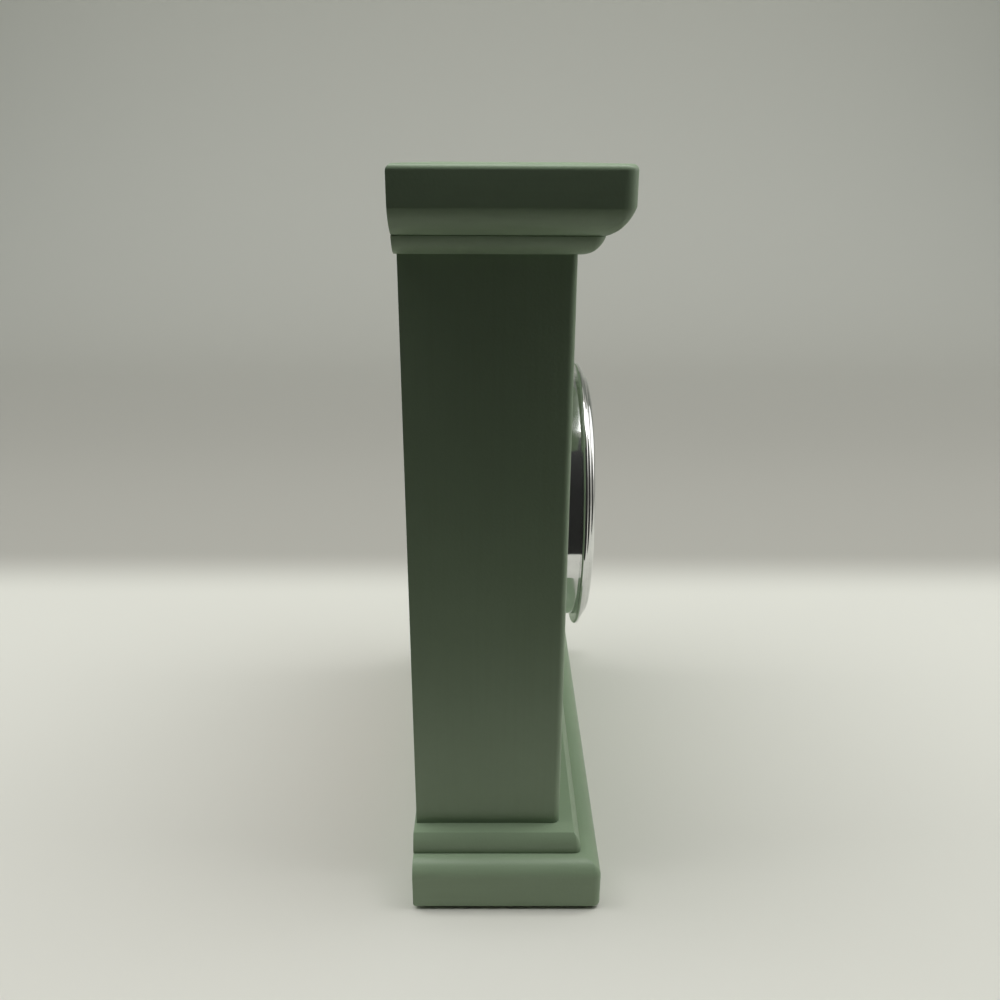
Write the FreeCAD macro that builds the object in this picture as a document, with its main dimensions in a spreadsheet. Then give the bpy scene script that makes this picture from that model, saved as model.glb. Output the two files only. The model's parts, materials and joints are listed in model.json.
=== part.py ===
"""Painted mantel clock with a plinth, a stepped cornice, a round bezel and a quartz movement.

The frame has X to the clock's left-right, Y from its front (-Y) to its back (+Y) and Z up. The origin is
on the floor, in the middle of the base. All lengths are millimetres and live in the sheet named size.
"""
import FreeCAD, Part
import math
import os
from collections import namedtuple
from types import SimpleNamespace

import Sketcher
from FreeCAD import Placement, Rotation, Vector

DOC = FreeCAD.newDocument("mantel_clock")
SHEET = DOC.addObject("Spreadsheet::Sheet", "size")

# Driving dimensions
SIZES = {
    # Body of the case, between the plinth and the cornice
    "body_width": 178.0,
    "body_depth": 60.0,
    "body_height": 231.9,
    "board_thickness": 12.0,
    "front_edge_round": 2.75,
    "batten_side": 14.0,
    # Boards that stand past the body on three sides, and a little past its back
    "back_overhang": 0.9,
    "back_round": 2.5,
    "back_ease": 0.3,
    "base_thickness": 21.2,
    "base_overhang": 16.6,
    "base_top_round": 6.5,
    "base_foot_round": 1.6,
    "base_corner": 3.0,
    "step_thickness": 8.2,
    "step_overhang": 8.7,
    "step_top_width": 3.0,
    "step_top_height": 7.4,
    "step_top_bulge": 0.8,
    "step_foot_round": 0.3,
    "step_corner": 2.5,
    "bed_thickness": 6.6,
    "bed_overhang": 8.3,
    "bed_foot_width": 8.3,
    "bed_foot_height": 6.2,
    "bed_foot_bulge": 1.6,
    "bed_top_round": 0.2,
    "bed_corner": 4.0,
    "crown_thickness": 21.5,
    "crown_overhang": 16.7,
    "crown_foot_width": 8.5,
    "crown_foot_height": 9.0,
    "crown_foot_bulge": 1.3,
    "crown_top_round": 2.0,
    "crown_corner": 5.0,
    # Felt pads under the base
    "pad_thickness": 0.8,
    "pad_radius": 6.0,
    "pad_inset": 13.0,
    # Back panel in its rebate, with the opening for the battery and the setting knob
    "back_thickness": 4.0,
    "rebate_width": 6.0,
    "rebate_depth": 5.0,
    "panel_play": 0.2,
    "access_width": 92.0,
    "access_height": 92.0,
    "access_corner": 9.0,
    # Wood screws and dowels
    "back_screw_shank": 1.4,
    "back_screw_head": 2.6,
    "back_screw_length": 16.0,
    "back_screw_edge": 21.0,
    "base_screw_shank": 2.0,
    "base_screw_head": 3.8,
    "base_screw_head_height": 2.6,
    "base_screw_length": 36.0,
    "base_screw_bore": 4.2,
    "base_screw_sink": 8.0,
    "base_screw_spread": 26.0,
    "recess_arm": 2.6,
    "recess_slot": 0.6,
    "recess_depth": 0.9,
    "dowel_radius": 3.0,
    "dowel_length": 16.0,
    "dowel_share_above": 5.0,
    # Dial pan, the bright drum that stands on the front panel, a little below its middle
    "dial_drop": 0.6,
    "pan_radius": 56.0,
    "pan_wall": 0.8,
    "pan_depth": 8.9,
    "movement_hole": 42.0,
    "stud_radius": 1.5,
    "stud_circle": 49.0,
    "stud_reach": 5.5,
    "stud_play": 0.2,
    "stud_washer_radius": 3.5,
    "stud_washer_thickness": 0.6,
    "stud_nut_flats": 5.5,
    "stud_nut_height": 2.4,
    # Bezel rim, glass, spacer ring and dial
    "rim_radius": 60.4,
    "rim_lip": 51.0,
    "rim_back": 8.3,
    "rim_rise": 5.3,
    "fit_play": 0.05,
    "glass_radius": 55.0,
    "glass_thickness": 2.0,
    "glass_back": 9.3,
    "spacer_wall": 1.6,
    "dial_thickness": 0.6,
    "bush_hole": 4.1,
    # Nut, washers and hands at the middle of the dial
    "rubber_thickness": 1.0,
    "rubber_radius": 12.0,
    "washer_radius": 6.5,
    "washer_thickness": 0.5,
    "nut_flats": 11.0,
    "nut_height": 1.9,
    "hand_thickness": 0.4,
    "hour_hand_height": 4.7,
    "hour_hand_length": 31.0,
    "hour_hand_width": 6.4,
    "hour_hub": 3.7,
    "minute_hand_height": 5.9,
    "minute_hand_length": 45.0,
    "minute_hand_width": 5.6,
    "minute_hub": 3.1,
    "second_hand_height": 7.6,
    "second_hand_length": 47.0,
    "second_hand_tail": 14.0,
    "second_hand_width": 0.9,
    "second_hub": 2.0,
    "second_poise": 2.3,
    "hand_nut_radius": 2.5,
    "hand_nut_height": 0.7,
    # Case of the movement
    "movement_side": 56.0,
    "movement_depth": 16.0,
    "movement_corner": 3.0,
    "cover_wall": 1.0,
    "plate_thickness": 1.2,
    "bush_radius": 4.0,
    "bush_length": 5.1,
    "boss_radius": 1.4,
    "boss_height": 2.0,
    # Concentric tubes of the hands, and the arbors
    "hour_tube": 2.5,
    "hour_tube_front": 5.4,
    "cannon_radius": 1.8,
    "cannon_front": 6.9,
    "second_arbor": 0.7,
    "second_arbor_front": 8.2,
    "arbor_radius": 0.5,
    "pivot_radius": 0.35,
    "pivot_length": 1.1,
    "pivot_inset": 0.75,
    "running_play": 0.05,
    "post_radius": 1.0,
    # Wheels, in layers of one height behind the movement's plate
    "wheel_face": 0.9,
    "layer_gap": 0.35,
    "tooth_slack": 0.06,
    "motion_distance": 9.6,
    "third_distance": 10.2,
    "intermediate_distance": 10.8,
    "rotor_distance": 8.75,
    "stem_radius": 1.5,
    "knob_radius": 5.0,
    "knob_height": 3.5,
    "knob_notch": 0.6,
    # Motor and electronics
    "magnet_radius": 3.0,
    "magnet_height": 2.4,
    "magnet_back": 12.0,
    "stator_gap": 0.5,
    "stator_thickness": 1.0,
    "stator_back": 11.0,
    "stator_border": 4.2,
    "stator_arm": 3.7,
    "core_height": 3.8,
    "coil_centre": 21.5,
    "coil_radius": 3.0,
    "coil_tube": 2.4,
    "coil_winding": 2.8,
    "coil_flange": 0.8,
    "board_width": 23.0,
    "board_height": 14.5,
    "board_right": 2.6,
    "board_bottom": 10.8,
    "circuit_thickness": 1.0,
    "circuit_back": 13.0,
    "crystal_radius": 1.0,
    "crystal_length": 6.0,
    "chip_radius": 3.0,
    "chip_height": 1.1,
    # Battery and its contacts
    "battery_radius": 7.1,
    "battery_length": 49.2,
    "battery_nub": 1.0,
    "battery_nub_radius": 2.7,
    "battery_drop": 19.7,
    "battery_middle": 8.6,
    "bay_play": 0.4,
    "contact_thickness": 0.3,
    "contact_width": 9.0,
    "contact_play": 0.3,
    "spring_reach": 1.4,
}

# Angles in degrees, from the clock's right-hand side towards its top, seen from the front
THIRD_DIRECTION = 150.0
MOTION_DIRECTION = -20.0
KNOB_DIRECTION = -5.0
INTERMEDIATE_DIRECTION = 60.0
ROTOR_DIRECTION = 20.0
STUD_DIRECTIONS = (90.0, 210.0, 330.0)
# Where the hands point, in degrees clockwise from twelve: ten minutes past ten
HOUR_HAND_TURN = 305.0
MINUTE_HAND_TURN = 60.0
SECOND_HAND_TURN = 210.0

# Tooth counts
MINUTE_PINION, MOTION_WHEEL, MOTION_PINION, HOUR_WHEEL, KNOB_PINION = 12, 36, 10, 40, 12
SECOND_PINION, THIRD_WHEEL, THIRD_PINION, CENTRE_WHEEL = 8, 60, 8, 64
SECOND_WHEEL, INTERMEDIATE_PINION, INTERMEDIATE_WHEEL, ROTOR_PINION = 60, 12, 60, 10
PRESSURE_ANGLE = math.radians(25)
WHEEL_TEETH = {"addendum_share": 0.75, "dedendum_share": 1.1}
PINION_TEETH = {"addendum_share": 0.9, "dedendum_share": 0.95}

Circle = namedtuple("Circle", "x y radius")
# A corner of a loop. With a radius, an arc leads from it to the next corner, counter-clockwise at turn 1
Corner = namedtuple("Corner", "x y radius turn", defaults=(None, 0))
PIECES = []


# Lengths that keep their link to the sheet
class Length:
    """A length with its number and the sheet expression that it comes from."""

    def __init__(self, value, text):
        self.value = value
        self.text = text

    def __add__(self, other):
        other = as_length(other)
        return Length(self.value + other.value, f"({self.text} + {other.text})")

    def __sub__(self, other):
        other = as_length(other)
        return Length(self.value - other.value, f"({self.text} - {other.text})")

    def __mul__(self, factor):
        return Length(self.value * factor, f"({self.text} * ({factor:.12g}))")

    def __truediv__(self, divisor):
        return Length(self.value / divisor, f"({self.text} / {divisor:.12g})")

    def __neg__(self):
        return Length(-self.value, f"(-{self.text})")


def as_length(thing):
    """Plain zero is the only bare number that becomes a length."""
    return thing if isinstance(thing, Length) else Length(float(thing), str(thing))


def fill_sheet():
    for row, (name, value) in enumerate(SIZES.items(), start=1):
        SHEET.set(f"A{row}", name)
        SHEET.set(f"B{row}", str(value))
        SHEET.setAlias(f"B{row}", name)
    DOC.recompute()
    return SimpleNamespace(**{name: Length(float(getattr(SHEET, name)), f"size.{name}") for name in SIZES})


size = fill_sheet()
ZERO = as_length(0)

# Places that many pieces share
FACE_Y = (size.crown_overhang - size.body_depth - size.back_overhang) / 2
BACK_Y = FACE_Y + size.body_depth
INNER_Y = FACE_Y + size.board_thickness
BASE_TOP = size.pad_thickness + size.base_thickness
BODY_BOTTOM = BASE_TOP + size.step_thickness
BODY_TOP = BODY_BOTTOM + size.body_height
BED_TOP = BODY_TOP + size.bed_thickness
DIAL_Z = (BODY_BOTTOM + BODY_TOP) / 2 - size.dial_drop
HALF_WIDTH = size.body_width / 2
HALF_INSIDE = HALF_WIDTH - size.board_thickness
HALF_MOVEMENT = size.movement_side / 2
DIAL_BACK = size.pan_wall
DIAL_FRONT = DIAL_BACK + size.dial_thickness


def polar(distance, degrees):
    """Sideways and upward parts of a distance in a direction."""
    return distance * math.cos(math.radians(degrees)), distance * math.sin(math.radians(degrees))


THIRD_X, THIRD_Z = polar(size.third_distance, THIRD_DIRECTION)
MOTION_X, MOTION_Z = polar(size.motion_distance, MOTION_DIRECTION)
KNOB_STEP_X, KNOB_STEP_Z = polar(size.motion_distance, KNOB_DIRECTION)
KNOB_X = MOTION_X + KNOB_STEP_X
KNOB_Z = MOTION_Z + KNOB_STEP_Z
INTER_X, INTER_Z = polar(size.intermediate_distance, INTERMEDIATE_DIRECTION)
ROTOR_STEP_X, ROTOR_STEP_Z = polar(size.rotor_distance, ROTOR_DIRECTION)
ROTOR_X = INTER_X + ROTOR_STEP_X
ROTOR_Z = INTER_Z + ROTOR_STEP_Z


def behind(depth):
    """Distance behind the front panel's face of a depth behind the movement's front."""
    return size.rubber_thickness + depth


def layer(number):
    """Front and back of one layer of wheels, as depths behind the movement's front."""
    front = size.plate_thickness + size.layer_gap + (size.wheel_face + size.layer_gap) * number
    return front, front + size.wheel_face


# Sketches and features
def bind(thing, path, length):
    thing.setExpression(path, as_length(length).text)


def tie(sketch, constraint, length):
    number = sketch.addConstraint(constraint)
    name = f"size_{number}"
    sketch.renameConstraint(number, name)
    bind(sketch, f"Constraints.{name}", length)


def tie_point(sketch, index, point, x, y):
    tie(sketch, Sketcher.Constraint("DistanceX", -1, 1, index, point, x.value), x)
    tie(sketch, Sketcher.Constraint("DistanceY", -1, 1, index, point, y.value), y)


def draw_circle(sketch, circle):
    x, y, radius = (as_length(part) for part in circle)
    index = sketch.addGeometry(Part.Circle(Vector(x.value, y.value, 0), Vector(0, 0, 1), radius.value))
    tie_point(sketch, index, 3, x, y)
    tie(sketch, Sketcher.Constraint("Radius", index, radius.value), radius)


def arc_middle(start, end, radius, turn):
    """Middle of the shorter arc from start to end, counter-clockwise when turn is 1."""
    chord = end - start
    left = Vector(-chord.y, chord.x, 0).normalize() * turn
    rise = math.sqrt(max(radius ** 2 - (chord.Length / 2) ** 2, 0))
    return start + chord / 2 + left * (rise - radius)


def draw_loop(sketch, corners):
    """One closed loop of lines and arcs, with every corner and radius tied to the sheet."""
    places = [Vector(as_length(c.x).value, as_length(c.y).value, 0) for c in corners]
    indexes, starts, ends = [], [], []
    for number, corner in enumerate(corners):
        start = places[number]
        end = places[(number + 1) % len(corners)]
        edge = Part.LineSegment(start, end)
        if corner.radius is not None:
            edge = Part.Arc(start, arc_middle(start, end, corner.radius.value, corner.turn), end)
        index = sketch.addGeometry(edge)
        gap_first, gap_second = (sketch.getPoint(index, number).distanceToPoint(start) for number in (1, 2))
        forward = gap_first < gap_second
        indexes.append(index)
        starts.append(1 if forward else 2)
        ends.append(2 if forward else 1)
    for number, corner in enumerate(corners):
        after = (number + 1) % len(corners)
        sketch.addConstraint(
            Sketcher.Constraint("Coincident", indexes[number], ends[number], indexes[after], starts[after]))
        tie_point(sketch, indexes[number], starts[number], as_length(corner.x), as_length(corner.y))
        if corner.radius is not None:
            tie(sketch, Sketcher.Constraint("Radius", indexes[number], corner.radius.value), corner.radius)


def rectangle(left, bottom, right, top):
    return [Corner(left, bottom), Corner(right, bottom), Corner(right, top), Corner(left, top)]


def rounded_rectangle(left, bottom, right, top, radius):
    return [
        Corner(left + radius, bottom), Corner(right - radius, bottom, radius, 1),
        Corner(right, bottom + radius), Corner(right, top - radius, radius, 1),
        Corner(right - radius, top), Corner(left + radius, top, radius, 1),
        Corner(left, top - radius), Corner(left, bottom + radius, radius, 1),
    ]


def hexagon(flats):
    return [Corner(*polar(flats / math.sqrt(3), 60 * number)) for number in range(6)]


def new_body(label):
    body = DOC.addObject("PartDesign::Body", label)
    body.Label = label
    PIECES.append(body)
    return body


def origin_part(body, role):
    return next(part for part in body.Origin.OriginFeatures if part.Role == role)


def sketch_on(body, role, offset, loops):
    sketch = body.newObject("Sketcher::SketchObject", f"{body.Name}_sketch")
    sketch.AttachmentSupport = (origin_part(body, role), [""])
    sketch.MapMode = "FlatFace"
    bind(sketch, "AttachmentOffset.Base.z", offset)
    for loop in loops:
        if isinstance(loop, Circle):
            draw_circle(sketch, loop)
        else:
            draw_loop(sketch, loop)
    return sketch


def pad(body, role, low, high, *loops):
    """Solid between two offsets along a plane's normal. XZ_Plane's normal points to the clock's front."""
    feature = body.newObject("PartDesign::Pad", f"{body.Name}_pad")
    feature.Profile = sketch_on(body, role, low, loops)
    bind(feature, "Length", as_length(high) - as_length(low))
    return feature


def pocket(body, role, low, high, *loops):
    """Cut between two offsets along a plane's normal. A pocket starts at the high one and goes down."""
    feature = body.newObject("PartDesign::Pocket", f"{body.Name}_pocket")
    feature.Profile = sketch_on(body, role, high, loops)
    bind(feature, "Length", as_length(high) - as_length(low))
    return feature


def turned(body, *corners):
    """Ring round the dial's axis, from corners given as a radius and a height before the panel's face."""
    feature = body.newObject("PartDesign::Revolution", f"{body.Name}_turned")
    outline = [Corner(radius, -as_length(height)) for radius, height in corners]
    sketch = sketch_on(body, "XY_Plane", ZERO, [outline])
    feature.Profile = sketch
    feature.ReferenceAxis = (sketch, ["V_Axis"])
    feature.Angle = 360
    return feature


def dress(body, kind, base, length, wanted):
    """Fillet or Chamfer on the edges of a feature that a test wants."""
    DOC.recompute()
    names = [f"Edge{number}" for number, edge in enumerate(base.Shape.Edges, start=1) if wanted(edge)]
    feature = body.newObject(f"PartDesign::{kind}", f"{body.Name}_{kind.lower()}")
    feature.Base = (base, names)
    bind(feature, "Radius" if kind == "Fillet" else "Size", length)
    return feature


def place(piece, x, y, z, turn=0.0):
    """Put a piece at its place, turned clockwise about the dial's axis as seen from the front."""
    lengths = [as_length(part) for part in (x, y, z)]
    piece.Placement = Placement(Vector(*(part.value for part in lengths)), Rotation(Vector(0, 1, 0), turn))
    for axis, length in zip("xyz", lengths):
        bind(piece, f"Placement.Base.{axis}", length)


def on_dial_axis(piece, x=ZERO, z=ZERO, turn=0.0):
    place(piece, x, FACE_Y, DIAL_Z + z, turn)


def shaped(label, shape):
    """Sub-part whose solid is worked out here from the sheet's sizes."""
    piece = DOC.addObject("Part::Feature", label)
    piece.Label = label
    piece.Shape = shape
    PIECES.append(piece)
    return piece


def rod(radius, front, back):
    """Cylinder along the dial's axis between two distances behind the panel's face."""
    start = Vector(0, front.value, 0)
    return Part.makeCylinder(radius.value, back.value - front.value, start, Vector(0, 1, 0))


def block(low, high):
    corner = Vector(*(part.value for part in low))
    sides = [top.value - bottom.value for bottom, top in zip(low, high)]
    return Part.makeBox(*sides, corner)


def closed_face(points):
    return Part.Face(Part.makePolygon(points + points[:1]))


# Boards with moulded edges
def joined(edges):
    """Face of the edges in a row. An edge of no length is left out."""
    return Part.Face(Part.Wire([edge for edge in edges if edge is not None]))


def line(start, end):
    return None if start.distanceToPoint(end) < Part.Precision.confusion() else Part.makeLine(start, end)


def quarter_round(radius):
    """Width, height and bulge of a quarter round."""
    return radius, radius, radius * (1 - math.sqrt(0.5))


def rounding(start, end, bulge, inner):
    """Arc that bulges to the right of the way from start to end, cut off where it comes inside a line.

    Points are a reach and a height. The result is the arc's first, middle and last point.
    """
    half = Vector(end[0] - start[0], end[1] - start[1], 0) / 2
    radius = (half.Length ** 2 + bulge ** 2) / (2 * bulge)
    inward = Vector(-half.y, half.x, 0).normalize() * (radius - bulge)
    centre = Vector(start[0], start[1], 0) + half + inward
    depth = math.sqrt(max(radius ** 2 - (inner - centre.x) ** 2, 0))
    first = start if start[0] >= inner else (inner, centre.y - depth)
    last = end if end[0] >= inner else (inner, centre.y + depth)
    turns = [math.atan2(point[1] - centre.y, point[0] - centre.x) for point in (first, last)]
    turn = sum(turns) / 2
    return first, (centre.x + radius * math.cos(turn), centre.y + radius * math.sin(turn)), last


def edge_profile(reach, bottom, top, foot, crest, place_at, inner=0.0):
    """Foot moulding, flat and top round of a board's edge, as edges with the first and last point."""
    width, height, bulge = foot
    foot_points = rounding((reach - width, bottom), (reach, bottom + height), bulge, inner)
    width, height, bulge = crest
    crest_points = rounding((reach, top - height), (reach - width, top), bulge, inner)
    foot_points = [place_at(*point) for point in foot_points]
    crest_points = [place_at(*point) for point in crest_points]
    foot_arc, crest_arc = (Part.Arc(*points).toShape() for points in (foot_points, crest_points))
    return [foot_arc, line(foot_points[2], crest_points[0]), crest_arc], foot_points[0], crest_points[2]


def moulded_board(bottom, thickness, overhang, foot, crest, corner, back_foot, back_top):
    """Board with one edge profile along its left, front and right, round front corners and an eased back."""
    half = (HALF_WIDTH + overhang).value
    front = (FACE_Y - overhang).value
    back = (BACK_Y + size.back_overhang).value
    low, high = bottom.value, (bottom + thickness).value
    lower = tuple(part.value for part in foot)
    upper = tuple(part.value for part in crest)

    right, foot_right, top_right = edge_profile(
        half, low, high, lower, upper, lambda reach, z: Vector(reach, front, z))
    left, foot_left, top_left = edge_profile(
        half, low, high, lower, upper, lambda reach, z: Vector(-reach, front, z))
    across = joined(right + [line(top_right, top_left)] + left[::-1] + [line(foot_left, foot_right)])
    across = across.extrude(Vector(0, back - front, 0))
    nose, foot_front, top_front = edge_profile(
        -front, low, high, lower, upper, lambda reach, z: Vector(-half, -reach, z), inner=-back)
    tail, foot_back, top_back = edge_profile(
        back, low, high, quarter_round(back_foot.value), quarter_round(back_top.value),
        lambda reach, z: Vector(-half, reach, z), inner=front)
    along = joined(nose + [line(top_front, top_back)] + tail[::-1] + [line(foot_back, foot_front)])
    along = along.extrude(Vector(half * 2, 0, 0))
    board = across.common(along)

    radius = corner.value
    centre_x, centre_y = half - radius, front + radius
    profile, foot_axis, top_axis = edge_profile(
        radius, low, high, lower, upper, lambda reach, z: Vector(centre_x + reach, centre_y, z))
    axis_foot = Vector(centre_x, centre_y, foot_axis.z)
    axis_top = Vector(centre_x, centre_y, top_axis.z)
    inside = [line(top_axis, axis_top), line(axis_top, axis_foot), line(axis_foot, foot_axis)]
    section = joined(profile + inside)
    round_right = section.revolve(Vector(centre_x, centre_y, 0), Vector(0, 0, 1), -90)
    column = Part.makeBox(radius, radius, high - low, Vector(centre_x, front, low))
    mirror_plane = (Vector(0, 0, 0), Vector(1, 0, 0))
    board = board.cut([column, column.mirror(*mirror_plane)])
    board = board.fuse([round_right, round_right.mirror(*mirror_plane)]).removeSplitter()
    return board.Solids[0]


# Case
def side_places():
    """Where a fastener goes through each side panel, as x and y."""
    x = HALF_WIDTH - size.board_thickness / 2
    middle = (INNER_Y + BACK_Y - size.rebate_depth) / 2
    spread = size.base_screw_spread / 2
    return [(x * side, middle + spread * end) for side in (-1, 1) for end in (-1, 1)]


def back_screw_places():
    """Where the back panel's screws go, as x and z: three up each side."""
    x = HALF_INSIDE + size.rebate_width / 2
    heights = (BODY_BOTTOM + size.back_screw_edge, DIAL_Z, BODY_TOP - size.back_screw_edge)
    return [(x * side, z) for side in (-1, 1) for z in heights]


def make_base_slab():
    board = moulded_board(
        size.pad_thickness, size.base_thickness, size.base_overhang, quarter_round(size.base_foot_round),
        quarter_round(size.base_top_round), size.base_corner, size.back_round, size.back_ease)
    for x, y in side_places():
        place_at = Vector(x.value, y.value, 0)
        board = board.cut(Part.makeCylinder(size.base_screw_shank.value, BASE_TOP.value, place_at))
        sink = (size.pad_thickness + size.base_screw_sink).value
        board = board.cut(Part.makeCylinder(size.base_screw_bore.value, sink, place_at))
    shaped("base_slab", board)


def make_plinth_step():
    board = moulded_board(
        BASE_TOP, size.step_thickness, size.step_overhang, quarter_round(size.step_foot_round),
        (size.step_top_width, size.step_top_height, size.step_top_bulge),
        size.step_corner, size.back_ease, size.back_ease)
    for x, y in side_places():
        place_at = Vector(x.value, y.value, 0)
        board = board.cut(Part.makeCylinder(size.base_screw_shank.value, BODY_BOTTOM.value, place_at))
    shaped("plinth_step", board)


def make_side_panel(label, side):
    """Side panel, rebated at its back for the back panel. The front panel laps its front edge."""
    outer = HALF_WIDTH * side
    inner = HALF_INSIDE * side
    shoulder = (HALF_INSIDE + size.rebate_width) * side
    rebate_y = BACK_Y - size.rebate_depth
    body = new_body(label)
    corners = [(outer, INNER_Y), (inner, INNER_Y), (inner, rebate_y), (shoulder, rebate_y),
               (shoulder, BACK_Y), (outer, BACK_Y)]
    pad(body, "XY_Plane", BODY_BOTTOM, BODY_TOP, [Corner(x, y) for x, y in corners])
    own_places = [(x, y) for x, y in side_places() if x.value * side > 0]
    screw_top = size.pad_thickness + size.base_screw_sink + size.base_screw_length
    pilots = [Circle(x, y, size.base_screw_shank) for x, y in own_places]
    pocket(body, "XY_Plane", BODY_BOTTOM, screw_top, *pilots)
    dowels = [Circle(x, y, size.dowel_radius) for x, y in own_places]
    pocket(body, "XY_Plane", BODY_TOP + size.dowel_share_above - size.dowel_length, BODY_TOP, *dowels)
    pilots = [Circle(x, z, size.back_screw_shank) for x, z in back_screw_places() if x.value * side > 0]
    screw_end = BACK_Y - size.rebate_depth + size.back_thickness - size.back_screw_length
    pocket(body, "XZ_Plane", -rebate_y, -screw_end, *pilots)


def make_front_panel():
    """Front panel, with the movement's hole, three stud holes and eased upright edges."""
    body = new_body("front_panel")
    outline = rectangle(-HALF_WIDTH, BODY_BOTTOM, HALF_WIDTH, BODY_TOP)
    hole = Circle(ZERO, DIAL_Z, size.movement_hole)
    studs = []
    for degrees in STUD_DIRECTIONS:
        x, z = polar(size.stud_circle, degrees)
        studs.append(Circle(x, DIAL_Z + z, size.stud_radius + size.stud_play))
    board = pad(body, "XZ_Plane", -INNER_Y, -FACE_Y, outline, hole, *studs)

    def upright_front(edge):
        ends = [vertex.Point for vertex in edge.Vertexes]
        tall = len(ends) == 2 and abs(ends[0].z - ends[1].z) > BODY_BOTTOM.value
        return tall and all(abs(end.y - FACE_Y.value) < size.fit_play.value for end in ends)

    dress(body, "Fillet", board, size.front_edge_round, upright_front)


def make_corner_battens():
    """Square battens glued in the corners behind the front panel."""
    solids = []
    for side in (-1, 1):
        inner = HALF_INSIDE - size.batten_side
        low = (inner if side > 0 else -HALF_INSIDE, INNER_Y, BODY_BOTTOM)
        high = (HALF_INSIDE if side > 0 else -inner, INNER_Y + size.batten_side, BODY_TOP)
        solids.append(block(low, high))
    shaped("corner_battens", Part.makeCompound(solids))


def make_cornice():
    bed = moulded_board(
        BODY_TOP, size.bed_thickness, size.bed_overhang,
        (size.bed_foot_width, size.bed_foot_height, size.bed_foot_bulge),
        quarter_round(size.bed_top_round), size.bed_corner, size.back_ease, size.back_ease)
    depth = size.dowel_share_above.value
    for x, y in side_places():
        place_at = Vector(x.value, y.value, BODY_TOP.value)
        bed = bed.cut(Part.makeCylinder(size.dowel_radius.value, depth, place_at))
    shaped("bed_moulding", bed)
    shaped("crown_board", moulded_board(
        BED_TOP, size.crown_thickness, size.crown_overhang,
        (size.crown_foot_width, size.crown_foot_height, size.crown_foot_bulge),
        quarter_round(size.crown_top_round), size.crown_corner, size.back_ease, size.back_round))


def make_top_dowels():
    start = BODY_TOP + size.dowel_share_above - size.dowel_length
    starts = [Vector(x.value, y.value, start.value) for x, y in side_places()]
    radius, length = size.dowel_radius.value, size.dowel_length.value
    dowels = [Part.makeCylinder(radius, length, place_at) for place_at in starts]
    shaped("top_dowels", Part.makeCompound(dowels))


def make_back_panel():
    """Back panel with the access opening and countersunk screw holes."""
    body = new_body("back_panel")
    half = HALF_INSIDE + size.rebate_width - size.panel_play
    front = BACK_Y - size.rebate_depth
    back = front + size.back_thickness
    outline = rectangle(-half, BODY_BOTTOM + size.panel_play, half, BODY_TOP - size.panel_play)
    opening = rounded_rectangle(
        -size.access_width / 2, DIAL_Z - size.access_height / 2,
        size.access_width / 2, DIAL_Z + size.access_height / 2, size.access_corner)
    holes = [Circle(x, z, size.back_screw_shank) for x, z in back_screw_places()]
    panel = pad(body, "XZ_Plane", -back, -front, outline, opening, *holes)

    def hole_mouth(edge):
        at_back = abs(edge.CenterOfMass.y - back.value) < size.fit_play.value
        is_circle = isinstance(edge.Curve, Part.Circle)
        return at_back and is_circle and edge.Curve.Radius < size.back_screw_head.value

    dress(body, "Chamfer", panel, size.back_screw_head - size.back_screw_shank, hole_mouth)


def cross_recess(arm, depth, start, axis):
    """Cross-shaped driver recess, cut into a head along an axis."""
    slot = size.recess_slot.value
    bars = []
    for long_x, long_y in ((arm, slot), (slot, arm)):
        bar = Part.makeBox(long_x, long_y, depth, Vector(-long_x / 2, -long_y / 2, 0))
        bar.Placement = Placement(start, Rotation(Vector(0, 0, 1), axis))
        bars.append(bar)
    return bars


def make_back_screws():
    """Countersunk wood screws, flush with the back panel."""
    back = (BACK_Y - size.rebate_depth + size.back_thickness).value
    shank, head = size.back_screw_shank.value, size.back_screw_head.value
    sink = head - shank
    screws = []
    for x, z in back_screw_places():
        start = Vector(x.value, back, z.value)
        inward = Vector(0, -1, 0)
        screw = Part.makeCone(head, shank, sink, start, inward)
        screw = screw.fuse(Part.makeCylinder(shank, size.back_screw_length.value, start, inward))
        screws.append(screw.cut(cross_recess(size.recess_arm.value, size.recess_depth.value, start, inward)))
    shaped("back_panel_screws", Part.makeCompound(screws))


def make_base_screws():
    """Pan-head screws in counterbores under the base, which hold the base to the side panels."""
    seat = size.pad_thickness + size.base_screw_sink
    screws = []
    for x, y in side_places():
        head_start = Vector(x.value, y.value, (seat - size.base_screw_head_height).value)
        head = Part.makeCylinder(size.base_screw_head.value, size.base_screw_head_height.value, head_start)
        foot_edge = [edge for edge in head.Edges if edge.CenterOfMass.z < head_start.z + size.fit_play.value]
        head = head.makeFillet(size.base_screw_head_height.value / 2, foot_edge)
        shank_start = Vector(x.value, y.value, seat.value)
        shank = Part.makeCylinder(size.base_screw_shank.value, size.base_screw_length.value, shank_start)
        screw = head.fuse(shank)
        recess = cross_recess(size.recess_arm.value, size.recess_depth.value, head_start, Vector(0, 0, 1))
        screws.append(screw.cut(recess))
    shaped("base_screws", Part.makeCompound(screws))


def make_felt_pads():
    x = HALF_WIDTH + size.base_overhang - size.pad_inset
    front = FACE_Y - size.base_overhang + size.pad_inset
    back = BACK_Y + size.back_overhang - size.pad_inset
    places = [Vector(x.value * side, y.value, 0) for side in (-1, 1) for y in (front, back)]
    radius, thickness = size.pad_radius.value, size.pad_thickness.value
    pads = [Part.makeCylinder(radius, thickness, place_at) for place_at in places]
    shaped("felt_pads", Part.makeCompound(pads))


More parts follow.
